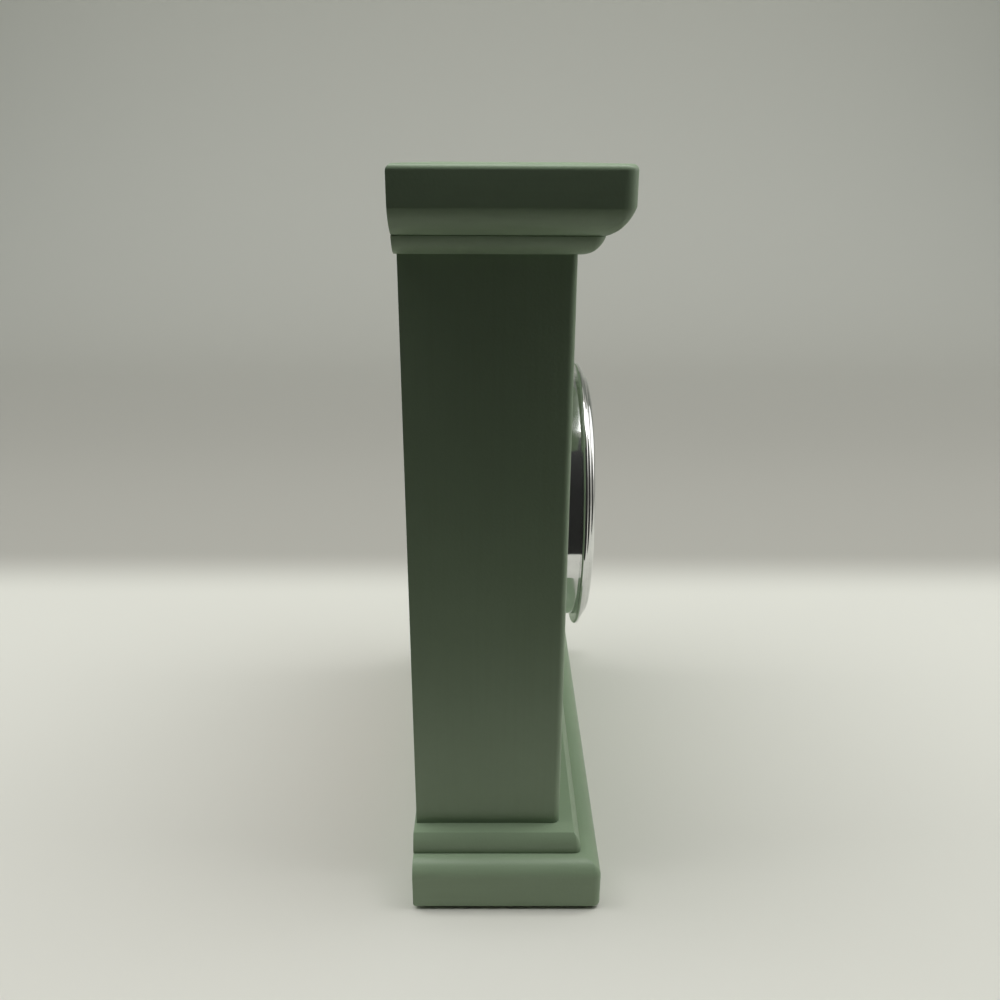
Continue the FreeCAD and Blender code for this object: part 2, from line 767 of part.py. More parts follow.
# Dial, bezel and hands. Heights are measured forwards from the front panel's face
def make_dial_pan():
    """Pressed cup on the panel's face, with three studs through the panel."""
    body = new_body("dial_pan")
    inner = size.pan_radius - size.pan_wall
    turned(body, (size.bush_hole, ZERO), (size.pan_radius, ZERO), (size.pan_radius, size.pan_depth),
           (inner, size.pan_depth), (inner, size.pan_wall), (size.bush_hole, size.pan_wall))
    reach = size.board_thickness + size.stud_reach
    studs = [Circle(*polar(size.stud_circle, degrees), size.stud_radius) for degrees in STUD_DIRECTIONS]
    pad(body, "XZ_Plane", -reach, ZERO, *studs)
    on_dial_axis(body)


def make_pan_fasteners():
    """Washer and nut on each stud, inside the case."""
    inside = size.board_thickness
    seat = inside + size.stud_washer_thickness
    washers, nuts = [], []
    for degrees in STUD_DIRECTIONS:
        x, z = polar(size.stud_circle, degrees)
        shift = Vector(x.value, 0, z.value)
        bore = rod(size.stud_radius + size.running_play, inside, seat + size.stud_nut_height)
        washer = rod(size.stud_washer_radius, inside, seat).cut(bore)
        points = [Vector(px.value, seat.value, pz.value) for px, pz, _, _ in hexagon(size.stud_nut_flats)]
        nut = closed_face(points).extrude(Vector(0, size.stud_nut_height.value, 0)).cut(bore)
        washers.append(washer.translated(shift))
        nuts.append(nut.translated(shift))
    on_dial_axis(shaped("pan_washers", Part.makeCompound(washers)))
    on_dial_axis(shaped("pan_nuts", Part.makeCompound(nuts)))


def make_bezel_rim():
    """Rolled rim of three beads. Its points are shares of its width inwards and of its rise forwards."""
    width = size.rim_radius - size.rim_lip
    outline_shares = [
        ("line", (0.09, 0.0)), ("arc", (0.02, 0.05), (0.0, 0.17)), ("arc", (0.02, 0.31), (0.10, 0.36)),
        ("arc", (0.14, 0.37), (0.17, 0.35)), ("line", (0.21, 0.26)), ("line", (0.24, 0.33)),
        ("arc", (0.28, 0.57), (0.39, 0.67)), ("line", (0.42, 0.62)), ("line", (0.45, 0.68)),
        ("arc", (0.56, 0.93), (0.74, 1.0)), ("arc", (0.92, 0.91), (1.0, 0.71)),
    ]

    def at(radius, height):
        return Vector(radius.value, -height.value, 0)

    wall = size.pan_radius + size.fit_play
    seat = size.glass_radius + size.running_play * 4
    lip_back = size.glass_back + size.glass_thickness + size.running_play
    start = at(wall, size.rim_back)
    edges = []
    here = start
    for kind, *stops in outline_shares:
        stops = [at(size.rim_radius - width * x, size.rim_back + size.rim_rise * y) for x, y in stops]
        edges.append(Part.makeLine(here, stops[0]) if kind == "line" else Part.Arc(here, *stops).toShape())
        here = stops[-1]
    for radius, height in ((size.rim_lip, lip_back), (seat, lip_back), (seat, size.glass_back),
                           (wall, size.glass_back), (wall, size.rim_back)):
        edges.append(line(here, at(radius, height)))
        here = at(radius, height)
    rim = joined(edges).revolve(Vector(0, 0, 0), Vector(0, 1, 0), 360)
    on_dial_axis(shaped("bezel_rim", rim))


def make_glass():
    body = new_body("glass_lens")
    bevel = size.glass_thickness / 4
    front = size.glass_back + size.glass_thickness
    turned(body, (ZERO, size.glass_back), (size.glass_radius, size.glass_back),
           (size.glass_radius, front - bevel), (size.glass_radius - bevel, front), (ZERO, front))
    on_dial_axis(body)


def make_spacer_ring():
    """Ring between the dial and the glass, which holds the glass against the rim."""
    body = new_body("spacer_ring")
    outer = size.pan_radius - size.pan_wall - size.running_play * 4
    inner = outer - size.spacer_wall
    slope = size.spacer_wall / 2
    turned(body, (inner, DIAL_FRONT), (outer, DIAL_FRONT), (outer, size.glass_back),
           (inner + slope, size.glass_back))
    on_dial_axis(body)


def make_dial_plate():
    body = new_body("dial_plate")
    radius = size.pan_radius - size.pan_wall - size.running_play * 4
    edge, hole = Circle(ZERO, ZERO, radius), Circle(ZERO, ZERO, size.bush_hole)
    pad(body, "XZ_Plane", DIAL_BACK, DIAL_FRONT, edge, hole)
    on_dial_axis(body)


def make_ring(label, outer, inner, low, high):
    body = new_body(label)
    pad(body, "XZ_Plane", low, high, Circle(ZERO, ZERO, outer), Circle(ZERO, ZERO, inner))
    on_dial_axis(body)
    return body


def make_dial_fasteners():
    """Washer and nut that clamp the dial on the threaded bush, and the rubber washer behind the pan."""
    thread = size.bush_radius + size.running_play
    seat = DIAL_FRONT + size.washer_thickness
    make_ring("dial_washer", size.washer_radius, thread, DIAL_FRONT, seat)
    make_ring("rubber_washer", size.rubber_radius, thread, -size.rubber_thickness, ZERO)
    body = new_body("dial_nut")
    pad(body, "XZ_Plane", seat, seat + size.nut_height, hexagon(size.nut_flats), Circle(ZERO, ZERO, thread))
    on_dial_axis(body)


def spade_blade(length, width, root):
    """Blade of a spade hand: a stalk, a rounded spade and a drawn-out point."""
    stalk = width * 0.17
    neck = width * 0.11
    shoulder = length * 0.60
    widest = length * 0.69
    half = width / 2
    bulge = length * 0.085
    draw = length * 0.42
    right = [(stalk, root, None, 0), (neck, shoulder, bulge, 1), (half, widest, draw, -1)]
    left = [(-half, widest, bulge, 1), (-neck, shoulder, None, 0), (-stalk, root, None, 0)]
    tip = (ZERO, length, draw, -1)
    return [Corner(*parts) for parts in right + [tip] + left]


def make_hand(label, height, length, width, hub, bore, turn):
    body = new_body(label)
    top = height + size.hand_thickness
    pad(body, "XZ_Plane", height, top, Circle(ZERO, ZERO, hub), Circle(ZERO, ZERO, bore))
    pad(body, "XZ_Plane", height, top, spade_blade(length, width, (hub + bore) / 2))
    on_dial_axis(body, turn=turn)
    return body


def make_hands():
    make_hand("hour_hand", size.hour_hand_height, size.hour_hand_length, size.hour_hand_width,
              size.hour_hub, size.hour_tube, HOUR_HAND_TURN)
    make_hand("minute_hand", size.minute_hand_height, size.minute_hand_length, size.minute_hand_width,
              size.minute_hub, size.cannon_radius, MINUTE_HAND_TURN)
    nut_bottom = size.minute_hand_height + size.hand_thickness
    nut = make_ring("hand_nut", size.hand_nut_radius, size.cannon_radius, nut_bottom,
                    nut_bottom + size.hand_nut_height)
    nut.Placement = Placement(nut.Placement.Base, Rotation(Vector(0, 1, 0), MINUTE_HAND_TURN))


def make_second_hand():
    """Thin pointer with a round poise on its tail and a tube on the arbor."""
    body = new_body("second_hand")
    low = size.second_hand_height
    high = low + size.hand_thickness
    half = size.second_hand_width / 2
    poise_z = -(size.second_hand_tail - size.second_poise)
    root = size.second_arbor + size.running_play * 4
    hub, hole = Circle(ZERO, ZERO, size.second_hub), Circle(ZERO, ZERO, size.second_arbor)
    pad(body, "XZ_Plane", low, high, hub, hole)
    pad(body, "XZ_Plane", low, high, [Corner(-half, root), Corner(half, root),
                                      Corner(half * 0.4, size.second_hand_length),
                                      Corner(-half * 0.4, size.second_hand_length)])
    pad(body, "XZ_Plane", low, high, rectangle(-half, poise_z, half, -root))
    pad(body, "XZ_Plane", low, high, Circle(ZERO, poise_z, size.second_poise))
    on_dial_axis(body, turn=SECOND_HAND_TURN)


# Case of the movement
def movement_outline():
    half = HALF_MOVEMENT
    return rounded_rectangle(-half, -half, half, half, size.movement_corner)


def make_movement_plate():
    """Front plate with the threaded bush, the motion wheel's post, two stator posts and the pivot holes."""
    body = new_body("movement_plate")
    front = -behind(ZERO)
    back = -behind(size.plate_thickness)
    bore = Circle(ZERO, ZERO, size.hour_tube + size.running_play)
    pad(body, "XZ_Plane", back, front, movement_outline(), bore)
    pad(body, "XZ_Plane", front, front + size.bush_length, Circle(ZERO, ZERO, size.bush_radius), bore)
    motion_back = layer(1)[1] + size.layer_gap / 2
    pad(body, "XZ_Plane", -behind(motion_back), back, Circle(MOTION_X, MOTION_Z, size.post_radius))
    stator_front = size.stator_back - size.stator_thickness
    posts = [Circle(x, z, size.boss_radius) for x, z in stator_post_places()]
    pad(body, "XZ_Plane", -behind(stator_front), back, *posts)
    hole = size.pivot_radius + size.running_play
    pivots = [Circle(x, z, hole) for x, z in plate_pivot_places()]
    pocket(body, "XZ_Plane", back, back + size.pivot_inset, *pivots)
    on_dial_axis(body)


def stator_post_places():
    right = HALF_MOVEMENT - size.cover_wall - size.boss_radius * 2
    left = coil_span()[0] + size.boss_radius / 2
    return [(right, ROTOR_Z), (left, ROTOR_Z + size.magnet_radius + size.stator_arm)]


def plate_pivot_places():
    return [(THIRD_X, THIRD_Z), (INTER_X, INTER_Z), (ROTOR_X, ROTOR_Z), (KNOB_X, KNOB_Z)]


def cover_pivot_places():
    return [(ZERO, ZERO), (THIRD_X, THIRD_Z), (INTER_X, INTER_Z), (ROTOR_X, ROTOR_Z)]


def make_movement_cover():
    """Rear cover with the train's chamber, the battery bay that opens to the back, and pivot bosses."""
    body = new_body("movement_cover")
    wall = size.cover_wall
    half = HALF_MOVEMENT
    front = -behind(size.plate_thickness)
    back = -behind(size.movement_depth)
    chamber_back = back + wall
    bay_top = size.battery_radius + size.bay_play - size.battery_drop
    pad(body, "XZ_Plane", back, front, movement_outline())
    chamber = rectangle(-half + wall, bay_top + wall, half - wall, half - wall)
    pocket(body, "XZ_Plane", chamber_back, front, chamber)
    bay = rectangle(-half + wall, -half + wall, bay_right(), bay_top)
    pocket(body, "XZ_Plane", back, front, bay)
    bosses = [Circle(x, z, size.boss_radius) for x, z in cover_pivot_places()]
    pad(body, "XZ_Plane", chamber_back, chamber_back + size.boss_height, *bosses)
    posts = [Circle(x, z, size.boss_radius) for x, z in board_post_places()]
    pad(body, "XZ_Plane", chamber_back, -behind(size.circuit_back), *posts)
    hole = size.pivot_radius + size.running_play
    pivots = [Circle(x, z, hole) for x, z in cover_pivot_places()]
    boss_front = chamber_back + size.boss_height
    pocket(body, "XZ_Plane", boss_front - size.pivot_length, boss_front, *pivots)
    pocket(body, "XZ_Plane", back, chamber_back, Circle(KNOB_X, KNOB_Z, size.stem_radius + size.running_play))
    on_dial_axis(body)


def bay_right():
    return size.battery_length / 2 + size.battery_nub + size.contact_play + size.contact_thickness


# Wheels
def involute(angle):
    return math.tan(angle) - angle


def gear_points(teeth, module, phase, form, y):
    """Outline of a gear in the plane at y, with each flank drawn as straight facets of its involute."""
    pitch = module * teeth / 2
    tip = pitch + module * form["addendum_share"]
    root = pitch - module * form["dedendum_share"]
    base = pitch * math.cos(PRESSURE_ANGLE)
    radii = [root] + ([base] if base > root else []) + [pitch, tip]

    def half_angle(radius):
        roll = math.acos(min(base / radius, 1.0))
        thinned = math.pi / (2 * teeth) - size.tooth_slack.value / (2 * pitch)
        return thinned + involute(PRESSURE_ANGLE) - involute(roll)

    flank = [(radius, half_angle(radius)) for radius in radii]
    tooth = [(radius, -angle) for radius, angle in flank] + [(radius, angle) for radius, angle in flank[::-1]]
    points = []
    for number in range(teeth):
        middle = phase + 2 * math.pi * number / teeth
        points += [Vector(radius * math.cos(middle + angle), y, radius * math.sin(middle + angle))
                   for radius, angle in tooth]
    return points


def gear(teeth, module, phase, form, depths):
    front, back = (behind(depth).value for depth in depths)
    return closed_face(gear_points(teeth, module, phase, form, front)).extrude(Vector(0, back - front, 0))


def meshing_phase(teeth, phase, direction, follower_teeth):
    """Angle of a follower's tooth so that its gap faces a driver's tooth along a direction in degrees."""
    direction = math.radians(direction)
    offset = math.pi - teeth * (direction - phase)
    return direction + math.pi - offset / follower_teeth


def module_of(distance, teeth, follower_teeth):
    return distance.value * 2 / (teeth + follower_teeth)


def arbor(front, back, radius):
    return rod(radius, behind(front), behind(back))


def pivoted_arbor(body_front, body_back, radius):
    """Arbor with a thin pivot at each end, in the plate's and the cover's pivot holes."""
    back = body_back + size.pivot_length - size.running_play
    pivots = arbor(body_front - size.pivot_inset, back, size.pivot_radius)
    return arbor(body_front, body_back, radius).fuse(pivots)


TRAIN_FRONT = size.plate_thickness + size.running_play
TRAIN_BACK = size.movement_depth - size.cover_wall - size.boss_height - size.running_play


def wheel_piece(label, x, z, parts, bore=None):
    """One moulded wheel, from its toothed discs and arbor, with a bore if it runs on a post or a tube."""
    solid = parts[0].fuse(parts[1:]) if len(parts) > 1 else parts[0]
    if bore is not None:
        solid = solid.cut(bore)
    piece = shaped(label, solid.removeSplitter())
    on_dial_axis(piece, x, z)


def make_motion_work():
    """Minute cannon, motion wheel, hour wheel and setting knob."""
    minute_module = module_of(size.motion_distance, MINUTE_PINION, MOTION_WHEEL)
    hour_module = module_of(size.motion_distance, MOTION_PINION, HOUR_WHEEL)
    motion_phase = meshing_phase(MINUTE_PINION, 0.0, MOTION_DIRECTION, MOTION_WHEEL)
    hour_phase = meshing_phase(MOTION_PINION, 0.0, MOTION_DIRECTION + 180, HOUR_WHEEL)
    knob_phase = meshing_phase(MOTION_WHEEL, motion_phase, KNOB_DIRECTION, KNOB_PINION)
    play = size.running_play

    centre_back = layer(2)[1] + play * 2
    cannon_bore = rod(size.second_arbor + play, -size.cannon_front, behind(centre_back))
    cannon = [gear(MINUTE_PINION, minute_module, 0.0, PINION_TEETH, layer(1)),
              rod(size.cannon_radius, -size.cannon_front, behind(centre_back))]
    wheel_piece("minute_cannon", ZERO, ZERO, cannon, cannon_bore)

    motion_bore = rod(size.post_radius + play, behind(ZERO), behind(layer(2)[0]))
    motion = [gear(MOTION_WHEEL, minute_module, motion_phase, WHEEL_TEETH, layer(1)),
              gear(MOTION_PINION, hour_module, 0.0, PINION_TEETH, (layer(0)[0], layer(1)[0]))]
    wheel_piece("motion_wheel", MOTION_X, MOTION_Z, motion, motion_bore)

    hour_bore = rod(size.cannon_radius + play, -size.hour_tube_front, behind(layer(1)[0]))
    hour = [gear(HOUR_WHEEL, hour_module, hour_phase, WHEEL_TEETH, layer(0)),
            rod(size.hour_tube, -size.hour_tube_front, behind(layer(0)[1]))]
    wheel_piece("hour_wheel", ZERO, ZERO, hour, hour_bore)

    stem_back = size.movement_depth + size.layer_gap
    knob = knurled_knob(stem_back)
    stem = [gear(KNOB_PINION, minute_module, knob_phase, PINION_TEETH, layer(1)),
            arbor(TRAIN_FRONT, stem_back, size.stem_radius),
            arbor(TRAIN_FRONT - size.pivot_inset + play, TRAIN_FRONT, size.pivot_radius), knob]
    wheel_piece("set_knob", KNOB_X, KNOB_Z, stem)


def knurled_knob(start):
    """Round knob with notches all round its edge."""
    knob = arbor(start, start + size.knob_height, size.knob_radius)
    notch = arbor(start, start + size.knob_height, size.knob_notch)
    count = 16
    notches = []
    for number in range(count):
        x, z = polar(size.knob_radius, 360 * number / count)
        notches.append(notch.translated(Vector(x.value, 0, z.value)))
    return knob.cut(notches)


def make_going_train():
    """Centre wheel, third wheel, second wheel and intermediate wheel."""
    centre_module = module_of(size.third_distance, THIRD_PINION, CENTRE_WHEEL)
    third_module = module_of(size.third_distance, SECOND_PINION, THIRD_WHEEL)
    second_module = module_of(size.intermediate_distance, SECOND_WHEEL, INTERMEDIATE_PINION)
    rotor_module = module_of(size.rotor_distance, INTERMEDIATE_WHEEL, ROTOR_PINION)
    centre_phase = meshing_phase(THIRD_PINION, 0.0, THIRD_DIRECTION + 180, CENTRE_WHEEL)
    third_phase = meshing_phase(SECOND_PINION, 0.0, THIRD_DIRECTION, THIRD_WHEEL)
    inter_phase = meshing_phase(SECOND_WHEEL, 0.0, INTERMEDIATE_DIRECTION, INTERMEDIATE_PINION)
    rotor_phase = meshing_phase(INTERMEDIATE_WHEEL, 0.0, ROTOR_DIRECTION, ROTOR_PINION)

    centre_bore = rod(size.cannon_radius + size.running_play, behind(layer(2)[0]), behind(layer(2)[1]))
    wheel_piece("centre_wheel", ZERO, ZERO,
                [gear(CENTRE_WHEEL, centre_module, centre_phase, WHEEL_TEETH, layer(2))], centre_bore)

    third = [gear(THIRD_WHEEL, third_module, third_phase, WHEEL_TEETH, layer(3)),
             gear(THIRD_PINION, centre_module, 0.0, PINION_TEETH, (layer(2)[0], layer(3)[0])),
             pivoted_arbor(TRAIN_FRONT, TRAIN_BACK, size.arbor_radius)]
    wheel_piece("third_wheel", THIRD_X, THIRD_Z, third)

    back_pivot = arbor(TRAIN_BACK, TRAIN_BACK + size.pivot_length - size.running_play, size.pivot_radius)
    second = [gear(SECOND_WHEEL, second_module, 0.0, WHEEL_TEETH, layer(4)),
              gear(SECOND_PINION, third_module, 0.0, PINION_TEETH, (layer(3)[0], layer(4)[0])),
              rod(size.second_arbor, -size.second_arbor_front, behind(TRAIN_BACK)), back_pivot]
    wheel_piece("second_wheel", ZERO, ZERO, second)

    inter = [gear(INTERMEDIATE_WHEEL, rotor_module, 0.0, WHEEL_TEETH, layer(5)),
             gear(INTERMEDIATE_PINION, second_module, inter_phase, PINION_TEETH, (layer(4)[0], layer(5)[0])),
             pivoted_arbor(TRAIN_FRONT, TRAIN_BACK, size.arbor_radius)]
    wheel_piece("intermediate_wheel", INTER_X, INTER_Z, inter)

    rotor = [gear(ROTOR_PINION, rotor_module, rotor_phase, PINION_TEETH, layer(5)),
             pivoted_arbor(TRAIN_FRONT, TRAIN_BACK, size.arbor_radius)]
    wheel_piece("rotor_pinion", ROTOR_X, ROTOR_Z, rotor)


# Motor, electronics and battery
def make_rotor_magnet():
    back = size.magnet_back
    magnet = arbor(back - size.magnet_height, back, size.magnet_radius)
    magnet = magnet.cut(arbor(back - size.magnet_height, back, size.arbor_radius))
    on_dial_axis(shaped("rotor_magnet", magnet), ROTOR_X, ROTOR_Z)


def coil_span():
    """Left and right ends of the coil's core."""
    right = HALF_MOVEMENT - size.cover_wall - size.bay_play
    return right - (right - ROTOR_X) * 2, right


def make_stator_and_core():
    """Flat stator round the rotor, with two arms that carry the coil's core."""
    left, right = coil_span()
    border = size.magnet_radius + size.stator_gap + size.stator_border / 4
    bottom = ROTOR_Z - border
    shelf = ROTOR_Z + border
    top = size.coil_centre + size.core_height / 2
    neck = ROTOR_X - border
    arm = size.stator_arm
    front = behind(size.stator_back - size.stator_thickness)
    corners = [(neck, bottom), (right, bottom), (right, top), (right - arm, top), (right - arm, shelf),
               (left + arm, shelf), (left + arm, top), (left, top), (left, shelf - arm), (neck, shelf - arm)]
    points = [Vector(x.value, front.value, z.value) for x, z in corners]
    stator = closed_face(points).extrude(Vector(0, size.stator_thickness.value, 0))
    hole = rod(size.magnet_radius + size.stator_gap, front, front + size.stator_thickness)
    stator = stator.cut(hole.translated(Vector(ROTOR_X.value, 0, ROTOR_Z.value)))
    on_dial_axis(shaped("stator_plate", stator))
    low = (left, behind(size.stator_back), top - size.core_height)
    high = (right, behind(size.stator_back) + size.stator_thickness, top)
    core = block(low, high)
    on_dial_axis(shaped("coil_core", core))
    return core


def coil_rod(radius, start, end):
    """Cylinder along the coil's core."""
    middle_y = behind(size.stator_back) + size.stator_thickness / 2
    place_at = Vector(start.value, middle_y.value, size.coil_centre.value)
    return Part.makeCylinder(radius.value, end.value - start.value, place_at, Vector(1, 0, 0))


def make_coil(core):
    """Bobbin with two flanges on the core, and the wire wound between them."""
    left, right = coil_span()
    start = left + size.stator_arm + size.coil_flange / 2
    end = right - size.stator_arm - size.coil_flange / 2
    tube = coil_rod(size.coil_tube, start, end)
    flanges = [coil_rod(size.coil_radius, start, start + size.coil_flange),
               coil_rod(size.coil_radius, end - size.coil_flange, end)]
    on_dial_axis(shaped("coil_bobbin", tube.fuse(flanges).cut(core).removeSplitter()))
    wire = coil_rod(size.coil_winding, start + size.coil_flange, end - size.coil_flange)
    wire = wire.cut(coil_rod(size.coil_tube, start + size.coil_flange, end - size.coil_flange))
    on_dial_axis(shaped("coil_winding", wire))


def board_post_places():
    right = -size.board_right - size.boss_radius * 2
    left = -size.board_right - size.board_width + size.boss_radius * 2
    z = size.board_bottom + size.board_height - size.boss_radius * 2
    return [(left, z), (right, z)]


def make_electronics():
    """Circuit board on the cover's posts, with the quartz crystal and the drive chip under its resin."""
    left = -size.board_right - size.board_width
    front = behind(size.circuit_back - size.circuit_thickness)
    back = behind(size.circuit_back)
    top = size.board_bottom + size.board_height
    board = block((left, front, size.board_bottom), (-size.board_right, back, top))
    on_dial_axis(shaped("circuit_board", board))
    start = Vector((left + size.crystal_length / 2).value, (front - size.crystal_radius).value,
                   (top - size.crystal_radius * 3).value)
    crystal = Part.makeCylinder(size.crystal_radius.value, size.crystal_length.value, start, Vector(1, 0, 0))
    on_dial_axis(shaped("quartz_crystal", crystal))
    chip_x = left / 2 - size.board_right / 2
    chip_z = size.board_bottom + size.chip_radius * 2
    middle = Vector(chip_x.value, back.value, chip_z.value)
    wide, narrow = size.chip_radius.value, size.chip_radius.value / 2
    chip = Part.makeCone(wide, narrow, size.chip_height.value, middle, Vector(0, 1, 0))
    on_dial_axis(shaped("drive_chip", chip))


def make_battery():
    """AA cell lying across the foot of the movement, its nub to the right."""
    half = size.battery_length / 2
    middle = Vector(-half.value, behind(size.battery_middle).value, -size.battery_drop.value)
    cell = Part.makeCylinder(size.battery_radius.value, size.battery_length.value, middle, Vector(1, 0, 0))
    rims = [edge for edge in cell.Edges if isinstance(edge.Curve, Part.Circle)]
    cell = cell.makeFillet(size.battery_nub.value / 2, rims)
    nub_start = middle + Vector(size.battery_length.value, 0, 0)
    nub = Part.makeCylinder(size.battery_nub_radius.value, size.battery_nub.value, nub_start, Vector(1, 0, 0))
    on_dial_axis(shaped("battery", cell.fuse(nub)))


def make_contacts():
    """Flat contact at the nub, and a bent leaf spring at the other end."""
    low_z = -size.battery_drop - size.contact_width / 2
    high_z = -size.battery_drop + size.contact_width / 2
    front = behind(size.battery_middle - size.contact_width / 2)
    back = behind(size.battery_middle + size.contact_width / 2)
    right = bay_right()
    flat = block((right - size.contact_thickness, front, low_z), (right, back, high_z))
    on_dial_axis(shaped("battery_contact", flat))

    thickness = size.contact_thickness
    wall = -HALF_MOVEMENT + size.cover_wall
    reach = wall + size.spring_reach
    bend = size.contact_width / 5
    corners = [(wall, low_z), (wall + thickness, low_z), (wall + thickness, low_z + bend),
               (reach, -size.battery_drop), (wall + thickness, high_z - bend), (wall + thickness, high_z),
               (wall, high_z), (wall, high_z - bend + thickness / 2),
               (reach - thickness, -size.battery_drop), (wall, low_z + bend - thickness / 2)]
    points = [Vector(x.value, front.value, z.value) for x, z in corners]
    spring = closed_face(points).extrude(Vector(0, back.value - front.value, 0))
    on_dial_axis(shaped("contact_spring", spring))


def check_pieces():
    """Stop with a message if a feature failed, a cut took nothing away, or a piece isn't a sound solid."""
    for thing in DOC.Objects:
        if "Invalid" in thing.State or "Error" in thing.State:
            raise RuntimeError(f"{thing.Name} failed: {thing.State}")
        if thing.TypeId in ("PartDesign::Pocket", "PartDesign::Groove"):
            if thing.BaseFeature.Shape.Volume <= thing.Shape.Volume:
                raise RuntimeError(f"{thing.Name} takes nothing away")
    for piece in PIECES:
        if piece.Shape.isNull() or not piece.Shape.isValid() or not piece.Shape.Solids:
            raise RuntimeError(f"{piece.Label} has no valid solid")


def write_pieces():
    os.makedirs("parts", exist_ok=True)
    for piece in PIECES:
        piece.Shape.exportStep(f"parts/{piece.Label}.step")
    whole = Part.makeCompound([piece.Shape for piece in PIECES]).BoundBox
    print(f"{len(PIECES)} pieces, {whole.XLength:.1f} x {whole.YLength:.1f} x {whole.ZLength:.1f} mm")


make_base_slab()
make_plinth_step()
make_side_panel("left_side_panel", -1)
make_side_panel("right_side_panel", 1)
make_front_panel()
make_corner_battens()
make_cornice()
make_top_dowels()
make_back_panel()
make_back_screws()
make_base_screws()
make_felt_pads()
make_dial_pan()
make_pan_fasteners()
make_bezel_rim()
make_glass()
make_spacer_ring()
make_dial_plate()
make_dial_fasteners()
make_hands()
make_second_hand()
make_movement_plate()
make_movement_cover()
make_motion_work()
make_going_train()
make_rotor_magnet()
make_coil(make_stator_and_core())
make_electronics()
make_battery()
make_contacts()
DOC.recompute()
check_pieces()
write_pieces()
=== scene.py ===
# %% [markdown]
# # A painted mantel clock
# The clock is an upright wooden case, painted sage green, with a stepped plinth, a moulded cornice and a
# bright metal bezel on its front. This lesson dresses a finished CAD model: its bodies already have their
# places, so every piece made here is drawn in the same frame, in metres. X is the clock's left-right, Y
# runs from its front (-Y) to its back (+Y), and Z is up.

# %% Load the frame
import json
import math

import bmesh
import bpy
from mathutils import Matrix, Vector


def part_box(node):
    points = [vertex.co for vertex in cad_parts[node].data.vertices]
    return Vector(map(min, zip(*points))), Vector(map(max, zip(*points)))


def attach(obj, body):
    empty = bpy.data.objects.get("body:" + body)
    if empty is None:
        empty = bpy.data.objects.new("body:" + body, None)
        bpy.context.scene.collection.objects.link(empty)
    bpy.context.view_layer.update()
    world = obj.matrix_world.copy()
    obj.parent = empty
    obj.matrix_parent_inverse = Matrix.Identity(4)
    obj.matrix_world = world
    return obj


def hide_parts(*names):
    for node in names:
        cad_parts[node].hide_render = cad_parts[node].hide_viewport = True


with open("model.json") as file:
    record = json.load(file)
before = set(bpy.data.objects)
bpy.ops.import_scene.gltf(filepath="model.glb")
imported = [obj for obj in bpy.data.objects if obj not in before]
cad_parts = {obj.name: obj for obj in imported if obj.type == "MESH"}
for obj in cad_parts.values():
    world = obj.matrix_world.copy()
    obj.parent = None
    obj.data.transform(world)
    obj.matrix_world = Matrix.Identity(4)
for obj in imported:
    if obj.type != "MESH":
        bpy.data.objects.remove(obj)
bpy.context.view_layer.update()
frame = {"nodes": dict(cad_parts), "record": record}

# %% [markdown]
# ## Camera
# The photograph was taken from the clock's left-hand side, from about a hand's length above its middle and
# looking down by about 21 degrees. A camera's matrix holds its right, up and backward directions as
# columns, which is easier to state exactly than three angles. The lens length follows from the photograph's
# perspective: a close viewpoint gives the strong narrowing towards the foot.

# %% Camera
MM = 0.001
CAMERA_PLACE = Vector((-0.39437, 0.00516, 0.29109))
LOOK_DOWN, LOOK_ASIDE, ROLL = 20.7296, -0.3195, 0.2532
LENS = 32.333
NEAREST_SEEN = 10 * MM


def aim_camera(place, look_down, look_aside, roll, lens):
    """Camera at a place, with its angles in degrees and its lens in millimetres."""
    down, aside, roll = (math.radians(angle) for angle in (look_down, look_aside, roll))
    level_part = math.cos(down)
    forward = Vector((level_part * math.cos(aside), level_part * math.sin(aside), -math.sin(down)))
    level = Vector((math.sin(aside), -math.cos(aside), 0))
    above = level.cross(forward)
    right = level * math.cos(roll) + above * math.sin(roll)
    up = above * math.cos(roll) - level * math.sin(roll)
    camera = bpy.data.objects.new("camera", bpy.data.cameras.new("camera"))
    camera.data.lens = lens
    camera.data.clip_start = NEAREST_SEEN
    axes = Matrix((right, up, -forward)).transposed().to_4x4()
    camera.matrix_world = Matrix.Translation(place) @ axes
    bpy.context.scene.collection.objects.link(camera)
    bpy.context.scene.camera = camera
    return camera


camera = aim_camera(CAMERA_PLACE, LOOK_DOWN, LOOK_ASIDE, ROLL, LENS)
print("camera at", camera.matrix_world.translation)

# %% [markdown]
# ## Shader maths as Python
# A procedural material is a graph of nodes, and a long graph is hard to read when it is built one link at a
# time. Here a small class wraps a socket, so that `noise * 0.2 + 1` adds the Math nodes by itself. Every
# other node comes from one method that takes its type, its settings and its inputs. The Mix node keeps a
# set of sockets with the same names for each kind of data, so those for colours are told apart by their
# numbers.

# %% Signals
class Signal:
    """A node's output whose arithmetic adds Math nodes."""

    def __init__(self, finish, socket):
        self.finish = finish
        self.socket = socket

    def maths(self, operation, *values):
        return self.finish.node("ShaderNodeMath", {"operation": operation}, dict(enumerate(values)))

    def __add__(self, other):
        return self.maths("ADD", self, other)

    __radd__ = __add__

    def __rsub__(self, other):
        return self.maths("SUBTRACT", other, self)

    def __mul__(self, other):
        return self.maths("MULTIPLY", self, other)

    def above(self, edge):
        return self.maths("GREATER_THAN", self, edge)

    def between(self, low, high):
        """0 at low, 1 at high and a smooth rise between them."""
        settings = {"interpolation_type": "SMOOTHSTEP"}
        inputs = {"Value": self, "From Min": low, "From Max": high}
        return self.finish.node("ShaderNodeMapRange", settings, inputs)


print("signals ready")

# %% Finishes
MIX_SHARE, MIX_FIRST, MIX_SECOND, MIX_RESULT = 0, 6, 7, 2


